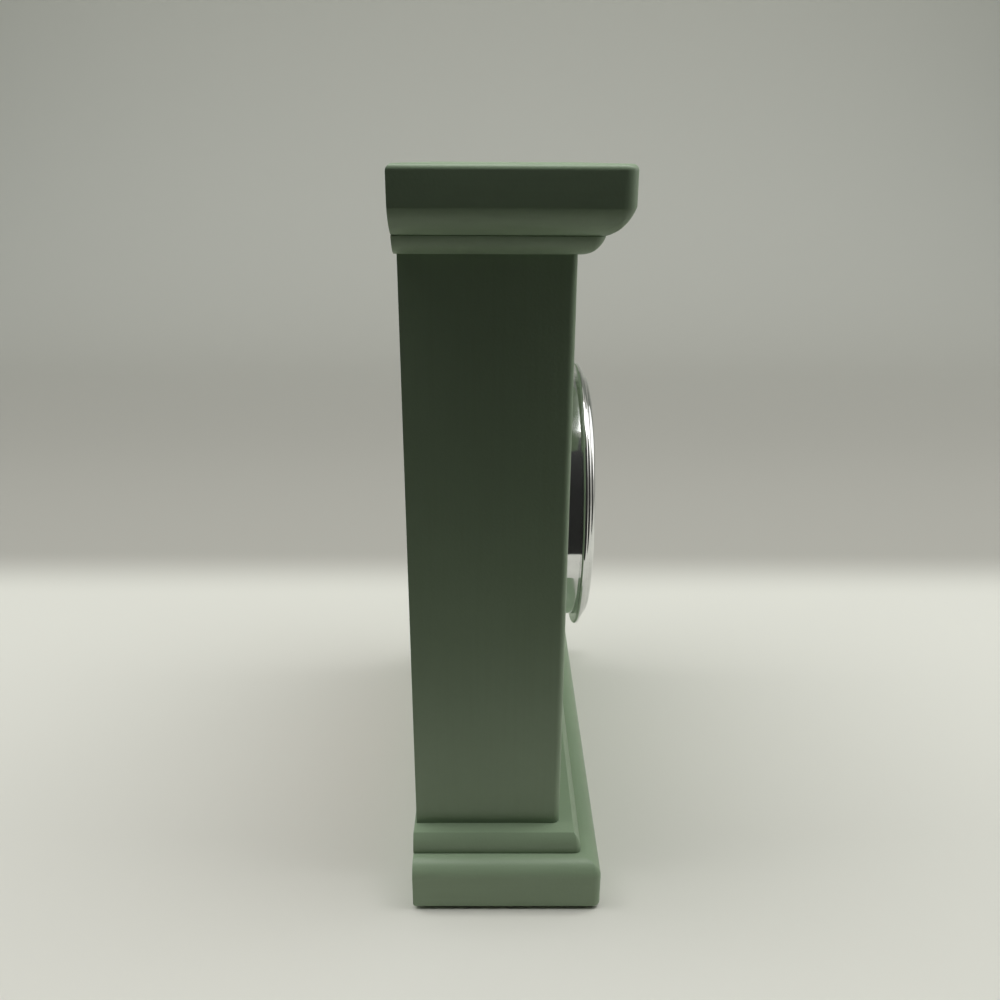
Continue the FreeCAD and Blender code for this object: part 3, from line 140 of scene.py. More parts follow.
class Finish:
    """One procedural material round a Principled shader, whose constant sockets are given by name."""

    def __init__(self, name, **constants):
        self.material = bpy.data.materials.new(name)
        self.material.use_nodes = True
        self.tree = self.material.node_tree
        self.shader = self.tree.nodes["Principled BSDF"]
        for socket, value in constants.items():
            self.shader.inputs[socket.replace("_", " ")].default_value = value

    def node(self, kind, settings, inputs, output=0):
        node = self.tree.nodes.new(kind)
        for name, value in settings.items():
            setattr(node, name, value)
        for socket, value in inputs.items():
            if isinstance(value, Signal):
                self.tree.links.new(value.socket, node.inputs[socket])
            else:
                node.inputs[socket].default_value = value
        return Signal(self, node.outputs[output])

    def drive(self, socket, signal):
        self.tree.links.new(signal.socket, self.shader.inputs[socket])

    def place(self, stretch=(1, 1, 1)):
        """Place on the clock, in metres, with each axis stretched by a factor."""
        point = self.node("ShaderNodeTexCoord", {}, {}, output="Object")
        return self.node("ShaderNodeVectorMath", {"operation": "MULTIPLY"}, {0: point, 1: stretch})

    def along(self, axis):
        return self.node("ShaderNodeSeparateXYZ", {}, {0: self.place()}, output=axis)

    def noise(self, size, stretch=(1, 1, 1), detail=2.0, roughness=0.5):
        """Cloudy noise whose blotches are about size millimetres across."""
        inputs = {"Vector": self.place(stretch), "Scale": 1 / (size * MM), "Detail": detail,
                  "Roughness": roughness}
        return self.node("ShaderNodeTexNoise", {}, inputs, output="Fac")

    def mix(self, first, second, share):
        """Colour between two colours."""
        inputs = {MIX_SHARE: share, MIX_FIRST: first, MIX_SECOND: second}
        return self.node("ShaderNodeMix", {"data_type": "RGBA"}, inputs, output=MIX_RESULT)

    def bump(self, height, depth):
        """Relief whose highest places stand depth millimetres above its lowest."""
        inputs = {"Height": height, "Distance": depth * MM, "Strength": 1.0}
        self.drive("Normal", self.node("ShaderNodeBump", {}, inputs))


def paint(red, green, blue):
    """Screen colour, 0 to 255, as the linear colour that a shader takes, by the sRGB curve."""
    def linear(value):
        value /= 255
        return value / 12.92 if value <= 0.04045 else ((value + 0.055) / 1.055) ** 2.4
    return (linear(red), linear(green), linear(blue), 1)


print("finishes ready to mix")

# %% [markdown]
# ## Sage paint
# Furniture paint put on with a brush has three scales of detail: slow drifts of tone where the coat is
# thicker, faint strokes along the board, and a fine orange peel that breaks up its sheen. A few small pale
# specks add dust caught in the coat. All of them come from noise in the clock's own coordinates, so that
# the finish runs on from board to board as one coat does. Strokes run up the body and along the mouldings,
# so the same recipe is made twice.

# %% Sage paint
def sage_paint(name, stroke_stretch):
    finish = Finish(name, Specular_IOR_Level=0.42)
    drift = finish.noise(70).between(0.3, 0.7)
    strokes = finish.noise(1.6, stroke_stretch)
    peel = finish.noise(1.1)
    speck = finish.noise(2.4, detail=4.0, roughness=0.7).between(0.70, 0.78)
    tone = finish.mix(paint(137, 157, 128), paint(142, 162, 133), drift)
    tone = finish.mix(tone, paint(129, 149, 120), strokes.between(0.42, 0.72) * 0.15)
    tone = finish.mix(tone, paint(172, 184, 162), speck * 0.25)
    finish.drive("Base Color", tone)
    finish.drive("Roughness", 0.36 + strokes * 0.08 + speck * 0.15)
    finish.bump(strokes * 0.25 + peel * 0.75, 0.08)
    return finish.material


body_paint = sage_paint("sage_paint_body", stroke_stretch=(1, 1, 0.03))
moulding_paint = sage_paint("sage_paint_moulding", stroke_stretch=(0.04, 0.04, 1))
print("paint:", body_paint.name, moulding_paint.name)

# %% [markdown]
# ## Metals
# Polished chrome is a nearly perfect mirror, and what makes it look real is what breaks the mirror: a film
# of dust and fingermarks that roughens it in patches. Brass and nickel have the same film and are duller,
# and zinc plate and stamped steel have a fine grain along one direction as well.

# %% Metals
DUSTY_SHARE = 0.86
GRAIN_SIZE, GRAIN_DEPTH = 0.4, 0.02


def metal(name, colour, roughness, smear, smear_size, grain=None):
    """Metal with a film in patches of smear_size millimetres, and a fine grain where its stretch is given."""
    finish = Finish(name, Metallic=1.0)
    film = finish.noise(smear_size, detail=4.0, roughness=0.6).between(0.35, 0.75)
    dull = tuple(channel * DUSTY_SHARE for channel in colour[:3]) + (1,)
    finish.drive("Base Color", finish.mix(colour, dull, film))
    finish.drive("Roughness", roughness + film * smear)
    if grain:
        finish.bump(finish.noise(GRAIN_SIZE, grain), GRAIN_DEPTH)
    return finish.material


bezel_chrome = metal("bezel_chrome", paint(226, 227, 226), 0.045, 0.07, 12)
turned_brass = metal("turned_brass", paint(206, 168, 98), 0.22, 0.12, 4)
zinc = metal("zinc_plate", paint(190, 190, 186), 0.32, 0.16, 5, grain=(1, 1, 0.3))
bright_steel = metal("bright_steel", paint(176, 176, 174), 0.28, 0.12, 4, grain=(0.2, 1, 1))
nickel = metal("nickel_plate", paint(205, 200, 186), 0.2, 0.1, 3)
sintered = metal("sintered_magnet", paint(70, 70, 74), 0.5, 0.2, 1)
satin_aluminium = metal("satin_aluminium", paint(205, 205, 202), 0.3, 0.1, 6)
print("metals ready, the bezel's is", bezel_chrome.name)

# %% [markdown]
# ## Other finishes
# The dial is a metal disc with a cream lacquer, and its figures are printed in black ink. The movement's
# case is moulded with a fine spark-eroded grain. Bare wood needs streaks stretched along the board, and
# fibreboard is a felted mass of short fibres. One recipe with two tones, a blotch size and a relief serves
# them all.

# %% Lacquer, ink, plastics, wood and felt
def plain(name, colour, other, size, roughness, spread, depth, stretch=(1, 1, 1), **constants):
    """Finish of two tones in blotches of size millimetres, with its sheen and relief from the same noise."""
    finish = Finish(name, **constants)
    blotch = finish.noise(size, stretch, detail=4.0, roughness=0.6)
    finish.drive("Base Color", finish.mix(colour, other, blotch.between(0.3, 0.7)))
    finish.drive("Roughness", roughness + blotch * spread)
    finish.bump(blotch, depth)
    return finish.material


dial_lacquer = plain("dial_lacquer", paint(240, 236, 222), paint(233, 228, 211), 20, 0.34, 0.08, 0.01)
dial_ink = plain("dial_ink", paint(28, 27, 26), paint(40, 38, 36), 0.8, 0.42, 0.1, 0.01)
hand_lacquer = plain("hand_lacquer", paint(22, 22, 23), paint(32, 32, 33), 3, 0.24, 0.1, 0.01)
case_plastic = plain("movement_plastic", paint(30, 30, 31), paint(40, 40, 41), 0.5, 0.48, 0.14, 0.04)
wheel_plastic = plain("wheel_plastic", paint(226, 224, 214), paint(214, 211, 198), 4, 0.36, 0.1, 0.02)
chip_resin = plain("chip_resin", paint(14, 14, 15), paint(24, 24, 25), 1, 0.2, 0.15, 0.02)
solder_mask = plain("solder_mask", paint(22, 92, 52), paint(16, 76, 42), 1.5, 0.3, 0.1, 0.03)
copper_wire = plain("copper_wire", paint(176, 92, 48), paint(120, 56, 28), 0.3, 0.3, 0.1, 0.1,
                    stretch=(1, 0.02, 0.02), Metallic=0.6)
rubber = plain("washer_rubber", paint(24, 24, 24), paint(36, 36, 35), 0.6, 0.7, 0.15, 0.05)
pine = plain("planed_pine", paint(214, 178, 126), paint(182, 138, 88), 4, 0.5, 0.15, 0.1,
             stretch=(1, 1, 0.04))
fibreboard = plain("fibreboard", paint(152, 116, 80), paint(126, 92, 60), 1.2, 0.6, 0.2, 0.1)
felt = plain("pad_felt", paint(44, 60, 44), paint(62, 80, 60), 0.6, 0.9, 0.1, 0.3, Sheen_Weight=0.4)
print("other finishes ready, the dial's is", dial_lacquer.name)

# %% [markdown]
# ## Battery sleeve
# A cell has a plastic sleeve in two colours, with bare steel at both ends. The colour changes along the
# cell's length, so the mask is the X coordinate compared with the place of each edge.

# %% Battery sleeve
BARE_LOW_END, BARE_HIGH_END = 0.6 * MM, 2.1 * MM
COPPER_END = 14 * MM


def battery_sleeve():
    finish = Finish("battery_sleeve", Coat_Weight=0.3, Coat_Roughness=0.1)
    across = finish.along("X")
    low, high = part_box("battery")
    steel = across.above(high.x - BARE_HIGH_END) + (1 - across.above(low.x + BARE_LOW_END))
    copper = across.above(high.x - COPPER_END)
    scuff = finish.noise(2, detail=4.0).between(0.55, 0.8)
    tone = finish.mix(paint(34, 34, 38), paint(168, 112, 62), copper)
    tone = finish.mix(tone, paint(190, 190, 188), steel)
    finish.drive("Base Color", finish.mix(tone, paint(96, 94, 92), scuff * 0.3))
    finish.drive("Metallic", steel)
    finish.drive("Roughness", 0.22 + scuff * 0.2)
    return finish.material


cell_sleeve = battery_sleeve()
print("battery:", cell_sleeve.name)

# %% [markdown]
# ## Clear glass
# The lens is clear and thin, and all that is seen of it is the share of light that its two faces throw
# back, about a twelfth. So it is drawn as a sharp mirror that is mostly see-through. Its transparency is
# one number, which also survives the export to other programs.

# %% Glass
THROWN_BACK = 0.08
lens_glass = Finish("lens_glass", Base_Color=(0.93, 0.96, 0.95, 1), Metallic=1.0, Roughness=0.02,
                    Alpha=THROWN_BACK).material
print("glass:", lens_glass.name)

# %% [markdown]
# ## Dressing the CAD solids
# Solids whose shape is right keep it, and only get a better material. Every solid is dressed here, also
# those that a more detailed piece replaces later, so that nothing is left in a plain colour.

# %% Materials for the CAD solids
SLOT_FINISH = {
    "painted_wood": body_paint, "bare_wood": pine, "back_board": fibreboard, "zinc_steel": zinc, "felt": felt,
    "bezel_chrome": bezel_chrome, "lens_glass": lens_glass, "ring_aluminium": satin_aluminium,
    "dial_enamel": dial_lacquer, "brass": turned_brass, "rubber": rubber, "hand_black": hand_lacquer,
    "movement_plastic": case_plastic, "wheel_plastic": wheel_plastic, "magnet": sintered,
    "motor_steel": bright_steel, "copper_wire": copper_wire, "circuit_resin": solder_mask,
    "chip_resin": chip_resin, "battery_sleeve": cell_sleeve, "contact_steel": nickel,
}
for entry in frame["record"]["subparts"]:
    solid = frame["nodes"][entry["node"]]
    solid.data.materials.clear()
    solid.data.materials.append(SLOT_FINISH[entry["material_slot"]])

# %% [markdown]
# ## Building pieces
# Meshes are made with bmesh, straight from lists of points. Faces are smooth, but an edge sharper than a
# limit stays sharp, and the Weighted Normal modifier keeps large flat faces flat next to small rounds. That
# gives crisp boards with soft edges at little cost. The steps that every piece repeats are functions: an
# object from a mesh, a closed body through a row of rings, and the piece with its material and its place in
# the part.

# %% From bmesh to a piece
SAME_PLACE, NO_LENGTH = 1e-7, 1e-8


def new_object(name, mesh, material=None):
    """Object in the scene from a bmesh, which is freed."""
    data = bpy.data.meshes.new(name)
    mesh.to_mesh(data)
    mesh.free()
    if material:
        data.materials.append(material)
    piece = bpy.data.objects.new(name, data)
    bpy.context.scene.collection.objects.link(piece)
    return piece


def keep_faces_flat(piece):
    piece.modifiers.new("flat_faces", "WEIGHTED_NORMAL").keep_sharp = True


def build_piece(name, mesh, material, body, replaced=(), sharp=32, weighted=True):
    """Piece of the part from a bmesh, with edges over sharp degrees kept hard."""
    bmesh.ops.remove_doubles(mesh, verts=mesh.verts, dist=SAME_PLACE)
    bmesh.ops.dissolve_degenerate(mesh, edges=mesh.edges, dist=NO_LENGTH)
    bmesh.ops.recalc_face_normals(mesh, faces=mesh.faces)
    for face in mesh.faces:
        face.smooth = True
    for edge in mesh.edges:
        edge.smooth = edge.calc_face_angle(0) < math.radians(sharp)
    piece = new_object(name, mesh, material)
    if weighted:
        keep_faces_flat(piece)
    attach(piece, body)
    if replaced:
        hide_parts(*replaced)
    print(f"{name}: {len(piece.data.polygons)} faces")
    return piece


print("pieces can be built")

# %% Rings, arcs and finished meshes
def loft(mesh, rings):
    """Closed body through rings that have as many vertices each."""
    for one, two in zip(rings, rings[1:]):
        for place in range(len(one)):
            after = (place + 1) % len(one)
            mesh.faces.new((one[place], one[after], two[after], two[place]))
    mesh.faces.new(rings[0][::-1])
    mesh.faces.new(rings[-1])


def finished_mesh(piece):
    """Mesh of an object with its modifiers or its letters worked out."""
    bpy.context.view_layer.update()
    return bpy.data.meshes.new_from_object(piece.evaluated_get(bpy.context.evaluated_depsgraph_get()))


def arc(centre, radius, start, end, count):
    """Points of an arc in a plane, from start to end in degrees."""
    points = []
    for number in range(count + 1):
        angle = math.radians(start + (end - start) * number / count)
        points.append((centre[0] + radius * math.cos(angle), centre[1] + radius * math.sin(angle)))
    return points


print("a quarter of a circle in 3 steps:", arc((0, 0), 1, 0, 90, 3))

# %% [markdown]
# ## Places that the pieces share
# The case's faces are read from the CAD solids, so a change there moves everything here too.

# %% Shared places
panel_low, panel_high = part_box("front_panel")
FACE = panel_low.y
HALF_BODY = panel_high.x
dial_low, dial_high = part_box("dial_plate")
DIAL_Z = (dial_low.z + dial_high.z) / 2
print(f"face {FACE:.4f}, half width {HALF_BODY:.4f}, dial height {DIAL_Z:.4f}")

# %% [markdown]
# ## Moulded boards
# The plinth and the cornice are boards with a profile cut along three edges. Each profile point becomes a
# ring round the board: its distance in from the outer edge moves the ring inwards, and its height sets Z.
# At the two front corners the ring follows a small arc, because the mitred corners were rounded off with
# sandpaper and paint. The rings are then joined by faces, which keeps the mesh regular.

# %% Ring round a board
CORNER_STEPS = 10
LEAST_CORNER = 0.04 * MM


def edge_ring(mesh, overhang, inset, height, corner, back):
    """Ring of vertices: left side from the back, round the front corners, and right side to the back."""
    half = HALF_BODY + overhang - inset
    front = FACE - overhang + inset
    radius = max(corner - inset, LEAST_CORNER)
    left = arc((-half + radius, front + radius), radius, 180, 270, CORNER_STEPS)
    right = arc((half - radius, front + radius), radius, 270, 360, CORNER_STEPS)
    return [mesh.verts.new((x, y, height)) for x, y in [(-half, back)] + left + right + [(half, back)]]


print("corners have", CORNER_STEPS, "steps")

# %% [markdown]
# A router bit gives a quarter round, but most of these profiles are flatter than that. So a profile's curve
# is stated by its width, its height and its bulge, which is how far it stands out from the straight line
# between its ends. Those three can be measured on a photograph, where a radius can't.

# %% Profile curves
def quarter_round(radius):
    """Width, height and bulge of a quarter round."""
    return radius, radius, radius * (1 - math.sqrt(0.5))


def rounding(start, end, bulge, steps):
    """Arc from start to end that bulges to the right of the way between them."""
    (ax, az), (bx, bz) = start, end
    half = math.dist(start, end) / 2
    radius = (half ** 2 + bulge ** 2) / (2 * bulge)
    side = (radius - bulge) / (2 * half)
    centre = ((ax + bx) / 2 - (bz - az) * side, (az + bz) / 2 + (bx - ax) * side)
    first = math.degrees(math.atan2(az - centre[1], ax - centre[0]))
    last = math.degrees(math.atan2(bz - centre[1], bx - centre[0]))
    return arc(centre, radius, first, last + 360 * (last < first), steps)


def back_inset(height, low, high, foot_round, top_round):
    """How far the eased back edge lies in from the back at a height."""
    reach, radius = max(low + foot_round - height, 0), foot_round
    if height > high - top_round:
        reach, radius = height - high + top_round, top_round
    return radius - math.sqrt(max(radius ** 2 - reach ** 2, 0))


print("width, height and bulge of a 5 mm quarter round:", quarter_round(5))

# %% [markdown]
# ## Plinth and cornice
# The plinth is a slab with a round top edge and a flatter step on it. The cornice is a bed moulding and the
# crown above it, both with an underside that swells outwards. A Bevel modifier could round a plain box, but
# these curves differ between the top and the foot of a board, so each board is drawn from its profile. The
# back has no moulding, as on a clock made to stand against a wall, and its edges are only eased.

# %% Plinth and cornice
CURVE_STEPS, BACK_STEPS = 14, 6
SPACING = 0.01 * MM


def board_profile(low, high, foot, crest, back_foot, back_top):
    """Points up a board's edge, as the distance out from that edge and the height."""
    width, height, bulge = foot
    profile = rounding((-width, low), (0, low + height), bulge, CURVE_STEPS)
    width, height, bulge = crest
    top = rounding((0, high - height), (-width, high), bulge, CURVE_STEPS)
    rises = [low + back_foot * step / BACK_STEPS for step in range(BACK_STEPS + 1)]
    rises += [high - back_top * step / BACK_STEPS for step in range(BACK_STEPS, 0, -1)]
    lowest, highest = profile[-1][1] + SPACING, top[0][1] - SPACING
    return profile + [(0, rise) for rise in rises if lowest < rise < highest] + top


def moulded_board(name, node, foot, crest, corner, back_foot, back_top):
    """Board moulded at its foot and its top, in millimetres, replacing a CAD node of the same reach."""
    low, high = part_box(node)
    foot, crest = ([size * MM for size in curve] for curve in (foot, crest))
    corner, back_foot, back_top = corner * MM, back_foot * MM, back_top * MM
    mesh = bmesh.new()
    rings = []
    for out, height in board_profile(low.z, high.z, foot, crest, back_foot, back_top):
        back = high.y - back_inset(height, low.z, high.z, back_foot, back_top)
        rings.append(edge_ring(mesh, high.x - HALF_BODY, -out, height, corner, back))
    loft(mesh, rings)
    return build_piece(name, mesh, moulding_paint, "case", (node,))


EASED, BACK_ROUND = 0.3, 2.5
moulded_board("plinth_slab", "base_slab", foot=quarter_round(1.6), crest=quarter_round(6.5), corner=3.0,
              back_foot=BACK_ROUND, back_top=EASED)
moulded_board("plinth_step_board", "plinth_step", foot=quarter_round(0.3), crest=(3.0, 7.4, 0.8), corner=2.5,
              back_foot=EASED, back_top=EASED)
moulded_board("bed_mould", "bed_moulding", foot=(8.3, 6.2, 1.6), crest=quarter_round(0.2), corner=4.0,
              back_foot=EASED, back_top=EASED)
moulded_board("crown", "crown_board", foot=(8.5, 9.0, 1.3), crest=quarter_round(2.0), corner=5.0,
              back_foot=EASED, back_top=BACK_ROUND)

# %% [markdown]
# ## Front panel
# The front board laps the side boards, and its two upright edges are eased to a small round. Its outline
# seen from above is drawn once and raised to the body's height. The hole for the movement is cut with a
# Boolean modifier, which is applied at once so that the cutter can go.

# %% Front panel
BOARD_EDGE, EDGE_STEPS = 2.75 * MM, 12
HOLE_RADIUS, HOLE_SEGMENTS, DRILL_LENGTH = 42 * MM, 96, 30 * MM
UPRIGHT_TO_DIAL = Matrix.Rotation(math.radians(90), 4, "X")


def cut_hole(piece, place):
    """Round hole from front to back, with its middle at a place."""
    drill = bmesh.new()
    lying = Matrix.Translation(place) @ UPRIGHT_TO_DIAL
    bmesh.ops.create_cone(drill, cap_ends=True, segments=HOLE_SEGMENTS, radius1=HOLE_RADIUS,
                          radius2=HOLE_RADIUS, depth=DRILL_LENGTH, matrix=lying)
    cut = piece.modifiers.new("movement_hole", "BOOLEAN")
    cut.object = new_object("drill", drill)
    cut.solver = "EXACT"
    drilled = finished_mesh(piece)
    bpy.data.objects.remove(cut.object)
    piece.modifiers.clear()
    piece.data = drilled


def front_board():
    low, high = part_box("front_panel")
    left = arc((low.x + BOARD_EDGE, low.y + BOARD_EDGE), BOARD_EDGE, 180, 270, EDGE_STEPS)
    right = arc((high.x - BOARD_EDGE, low.y + BOARD_EDGE), BOARD_EDGE, 270, 360, EDGE_STEPS)
    outline = [(low.x, high.y)] + left + right + [(high.x, high.y)]
    mesh = bmesh.new()
    loft(mesh, [[mesh.verts.new((x, y, z)) for x, y in outline] for z in (low.z, high.z)])
    piece = build_piece("front_board", mesh, body_paint, "case", ("front_panel",),
                        weighted=False)
    cut_hole(piece, (0, (low.y + high.y) / 2, DIAL_Z))
    keep_faces_flat(piece)
    return piece


board = front_board()
print("front board:", len(board.data.polygons), "faces after the cut")

# %% [markdown]
# ## Turned pieces
# The drum, the rim, the spacer, the glass and the dial are all round about the dial's axis, so each is one
# profile, turned. A point of a profile is a radius and a height before the front panel. A mirror finish
# shows every facet, so the turned pieces have many segments.

# %% Turned pieces
TURNED_SHARP = 38


def turned(name, profile, material, replaced, segments=240, extra=None):
    """Closed profile in millimetres, turned about the dial's axis, with what extra adds to its mesh."""
    profile = [(r * MM, f * MM) for r, f in profile]
    mesh = bmesh.new()
    rings = []
    for number in range(segments):
        angle = 2 * math.pi * number / segments
        rings.append([mesh.verts.new((r * math.cos(angle), FACE - f, DIAL_Z + r * math.sin(angle)))
                      for r, f in profile])
    for number in range(segments):
        here, there = rings[number], rings[(number + 1) % segments]
        for place in range(len(profile)):
            after = (place + 1) % len(profile)
            if profile[place][0] > 0 or profile[after][0] > 0:
                mesh.faces.new((here[place], here[after], there[after], there[place]))
    if extra:
        extra(mesh)
    return build_piece(name, mesh, material, "case", replaced, sharp=TURNED_SHARP)


print("turning ready, edges over", TURNED_SHARP, "degrees stay hard")

# %% [markdown]
# ## Drum
# The bezel's drum is a pressed cup with a softly rounded mouth. Three threaded studs stand on its back and
# go through the front panel, where nuts hold them. A thread this fine is drawn as rings of two radii by
# turns, which reads as a thread and needs far fewer faces than a true helix.

# %% Drum
STUD_RING = 49 * MM
STUD_SIDES = 16
THREAD_CREST, THREAD_ROOT = 1.5 * MM, 1.38 * MM
THREAD_STEP, THREAD_STEPS = 0.25 * MM, 70


def pan_studs(mesh):
    """Three threaded studs behind the drum."""
    for degrees in (90, 210, 330):
        angle = math.radians(degrees)
        x, z = STUD_RING * math.cos(angle), DIAL_Z + STUD_RING * math.sin(angle)
        rings = []
        for step in range(THREAD_STEPS + 1):
            circle = arc((x, z), THREAD_CREST if step % 2 else THREAD_ROOT, 0, 360, STUD_SIDES)[:-1]
            rings.append([mesh.verts.new((a, FACE + THREAD_STEP * step, b)) for a, b in circle])
        loft(mesh, rings)


drum_mouth = arc((55.6, 8.5), 0.4, 0, 180, 10)
drum = [(4.1, 0), (55.7, 0), (56, 0.3)] + drum_mouth + [(55.2, 1.1), (54.9, 0.8), (4.1, 0.8)]
turned("bezel_drum", drum, bezel_chrome, ("dial_pan",), extra=pan_studs)

# %% [markdown]
# ## Rim
# The rim is rolled sheet: a bead at its widest, a fine groove, a second bead, another groove and a broad
# crest that falls to the lip in front of the glass. The beads are what catch the light as thin bright
# lines, so each is drawn as its own arc, through three points that can be seen on its outline.

# %% Rim
def through(start, middle, end, count):
    """Points on the arc from start through middle to end, without its start."""
    (ax, ay), (bx, by), (cx, cy) = start, middle, end
    scale = 2 * (ax * (by - cy) + bx * (cy - ay) + cx * (ay - by))
    a2, b2, c2 = (x * x + y * y for x, y in (start, middle, end))
    centre = ((a2 * (by - cy) + b2 * (cy - ay) + c2 * (ay - by)) / scale,
              (a2 * (cx - bx) + b2 * (ax - cx) + c2 * (bx - ax)) / scale)
    radius = math.dist(start, centre)
    angles = [math.atan2(y - centre[1], x - centre[0]) for x, y in (start, middle, end)]
    turn = [(angle - angles[0] + math.pi) % (2 * math.pi) - math.pi for angle in angles]
    sweep = turn[2]
    if abs(turn[1]) > abs(sweep) or turn[1] * sweep < 0:
        sweep -= math.copysign(2 * math.pi, sweep)
    return [(centre[0] + radius * math.cos(angles[0] + sweep * n / count),
             centre[1] + radius * math.sin(angles[0] + sweep * n / count)) for n in range(1, count + 1)]


def rim_profile():
    """Outline from the seat on the drum, out over the beads and in to the glass, in millimetres."""
    points = [(56.05, 8.3), (59.55, 8.3)]
    points += through(points[-1], (60.21, 8.57), (60.4, 9.2), 8)
    points += through(points[-1], (60.21, 9.94), (59.46, 10.21), 8)
    points += through(points[-1], (59.08, 10.26), (58.8, 10.16), 5)
    points += through(points[-1], (58.52, 9.74), (58.21, 9.84), 5)
    points += through(points[-1], (57.91, 11.11), (56.73, 11.85), 9)
    points += through(points[-1], (56.54, 11.75), (56.33, 11.88), 4)
    points += through(points[-1], (55.14, 13.23), (53.44, 13.6), 12)
    points += through(points[-1], (51.75, 13.12), (51.0, 12.06), 12)
    return points + [(51.0, 11.4), (55.15, 11.4), (55.2, 11.35), (55.2, 9.3), (56.05, 9.3)]


turned("bezel_bead_rim", rim_profile(), bezel_chrome, ("bezel_rim",), segments=300)

# %% [markdown]
# ## Glass, spacer and dial
# The glass has a small polished bevel at its edge. Under it a sloped ring leads the eye down to the dial,
# and the dial itself is a flat disc whose edge is only seen where the ring ends.

# %% Glass, spacer and dial
glass = [(0, 9.3), (54.8, 9.3), (55.0, 9.5), (55.0, 10.8), (54.5, 11.3), (0, 11.3)]
spacer = [(53.4, 1.4), (55.0, 1.4), (55.0, 9.25), (54.3, 9.25), (54.1, 9.1)]
dial = [(4.1, 0.8), (55.0, 0.8), (55.0, 1.35), (54.95, 1.4), (4.15, 1.4), (4.1, 1.35)]
turned("glass_disc", glass, lens_glass, ("glass_lens",))
turned("dial_spacer", spacer, satin_aluminium, ("spacer_ring",))
turned("dial_disc", dial, dial_lacquer, ("dial_plate",))

# %% [markdown]
# ## Printing on the dial
# The minute track is a ring of sixty strokes between two fine circles, with a heavier stroke at every five
# minutes. Printed ink has hardly any height, but on the model it needs two hundredths of a millimetre so
# that it shows clear of the lacquer. The hours are plain numbers, set upright round the dial.

# %% Minute track
INK_HEIGHT = 0.02 * MM
DIAL_FACE = FACE - 1.4 * MM
TRACK_INNER, TRACK_OUTER, FIVE_INNER = 46.6, 48.6, 45.6
HALF_STROKE, HALF_FIVE, HALF_CIRCLE = 0.16, 0.55, 0.1
CIRCLE_PARTS = 180


def ink_patch(mesh, points):
    """Flat patch of ink from points in the dial's plane, in millimetres from its middle."""
    loft(mesh, [[mesh.verts.new((x * MM, y, DIAL_Z + z * MM)) for x, z in points]
                for y in (DIAL_FACE, DIAL_FACE - INK_HEIGHT)])


def minute_stroke(mesh, minute):
    angle = math.radians(minute * 6)
    sine, cosine = math.sin(angle), math.cos(angle)
    half, inner = (HALF_STROKE, TRACK_INNER) if minute % 5 else (HALF_FIVE, FIVE_INNER)
    corners = ((inner, -half), (inner, half), (TRACK_OUTER, half), (TRACK_OUTER, -half))
    ink_patch(mesh, [(sine * r + cosine * w, cosine * r - sine * w) for r, w in corners])


def ink_circle(mesh, radius):
    for number in range(CIRCLE_PARTS):
        one, two = (math.radians(360 / CIRCLE_PARTS * step) for step in (number, number + 1))
        inner, outer = radius - HALF_CIRCLE, radius + HALF_CIRCLE
        corners = ((one, inner), (two, inner), (two, outer), (one, outer))
        ink_patch(mesh, [(math.cos(turn) * r, math.sin(turn) * r) for turn, r in corners])


def minute_track():
    mesh = bmesh.new()
    for minute in range(60):
        minute_stroke(mesh, minute)
    for radius in (TRACK_OUTER, TRACK_INNER):
        ink_circle(mesh, radius)
    return build_piece("minute_track", mesh, dial_ink, "case", weighted=False)


minute_track()

# %% [markdown]
# Blender's own font gives plain, even figures. Each number is a text object turned to a mesh, because a
# mesh exports everywhere, and it is centred on its place by its own box.

# %% Hours
NUMBER_RING = 39.2 * MM
NUMBER_SIZE = 12.4 * MM
NUMBER_CURVE_STEPS = 6


def hour_number(hour):
    curve = bpy.data.curves.new(f"hour_{hour}", "FONT")
    curve.body = str(hour)
    curve.size = NUMBER_SIZE
    curve.extrude = INK_HEIGHT / 2
    curve.resolution_u = NUMBER_CURVE_STEPS
    words = bpy.data.objects.new(f"hour_{hour}_text", curve)
    bpy.context.scene.collection.objects.link(words)
    data = finished_mesh(words)
    bpy.data.objects.remove(words)
    xs, ys = [v.co.x for v in data.vertices], [v.co.y for v in data.vertices]
    middle = Vector(((min(xs) + max(xs)) / 2, (min(ys) + max(ys)) / 2, 0))
    angle = math.radians(hour * 30)
    aside, rise = NUMBER_RING * math.sin(angle), NUMBER_RING * math.cos(angle)
    place = Vector((aside, DIAL_FACE - INK_HEIGHT / 2, DIAL_Z + rise))
    data.transform(Matrix.Translation(place) @ UPRIGHT_TO_DIAL @ Matrix.Translation(-middle))
    data.materials.clear()
    data.materials.append(dial_ink)
    piece = bpy.data.objects.new(f"hour_{hour}", data)
    bpy.context.scene.collection.objects.link(piece)
    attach(piece, "case")
    return piece


numbers = [hour_number(hour) for hour in range(1, 13)]
print("numbers:", len(numbers))

# %% [markdown]
# ## Floor and backdrop
# A photographer's sweep is one sheet that lies on the table and curves up behind the object, so there is no
# horizon line. It stands on the far side from the camera and is wide enough for other viewpoints too.
# Behind the clock a band of painted shade, a greyer tone in the paper's colour, crosses the floor and fades
# out up the curve.

# %% Floor and backdrop
SHEET_REACH = 3.0
BEND_START, BEND_RADIUS, SHEET_TOP = 0.9, 0.6, 2.6


def paper_grey():
    """Pale paper with a band of painted shade behind the clock, where its colour is mixed to a greyer tone.
    """
    finish = Finish("sweep_paper", Roughness=0.85, Specular_IOR_Level=0.1)
    away = finish.along("X")
    # Painted shade: from X 0.18 m the paper's colour goes greyer, and between 0.5 m and 1.6 m it goes back to
    # pale.
    turning = away.between(0.18, 0.26) * (1 - away.between(0.5, 1.6))
    finish.drive("Base Color", finish.mix(paint(224, 223, 214), paint(176, 174, 166), turning))
    return finish.material


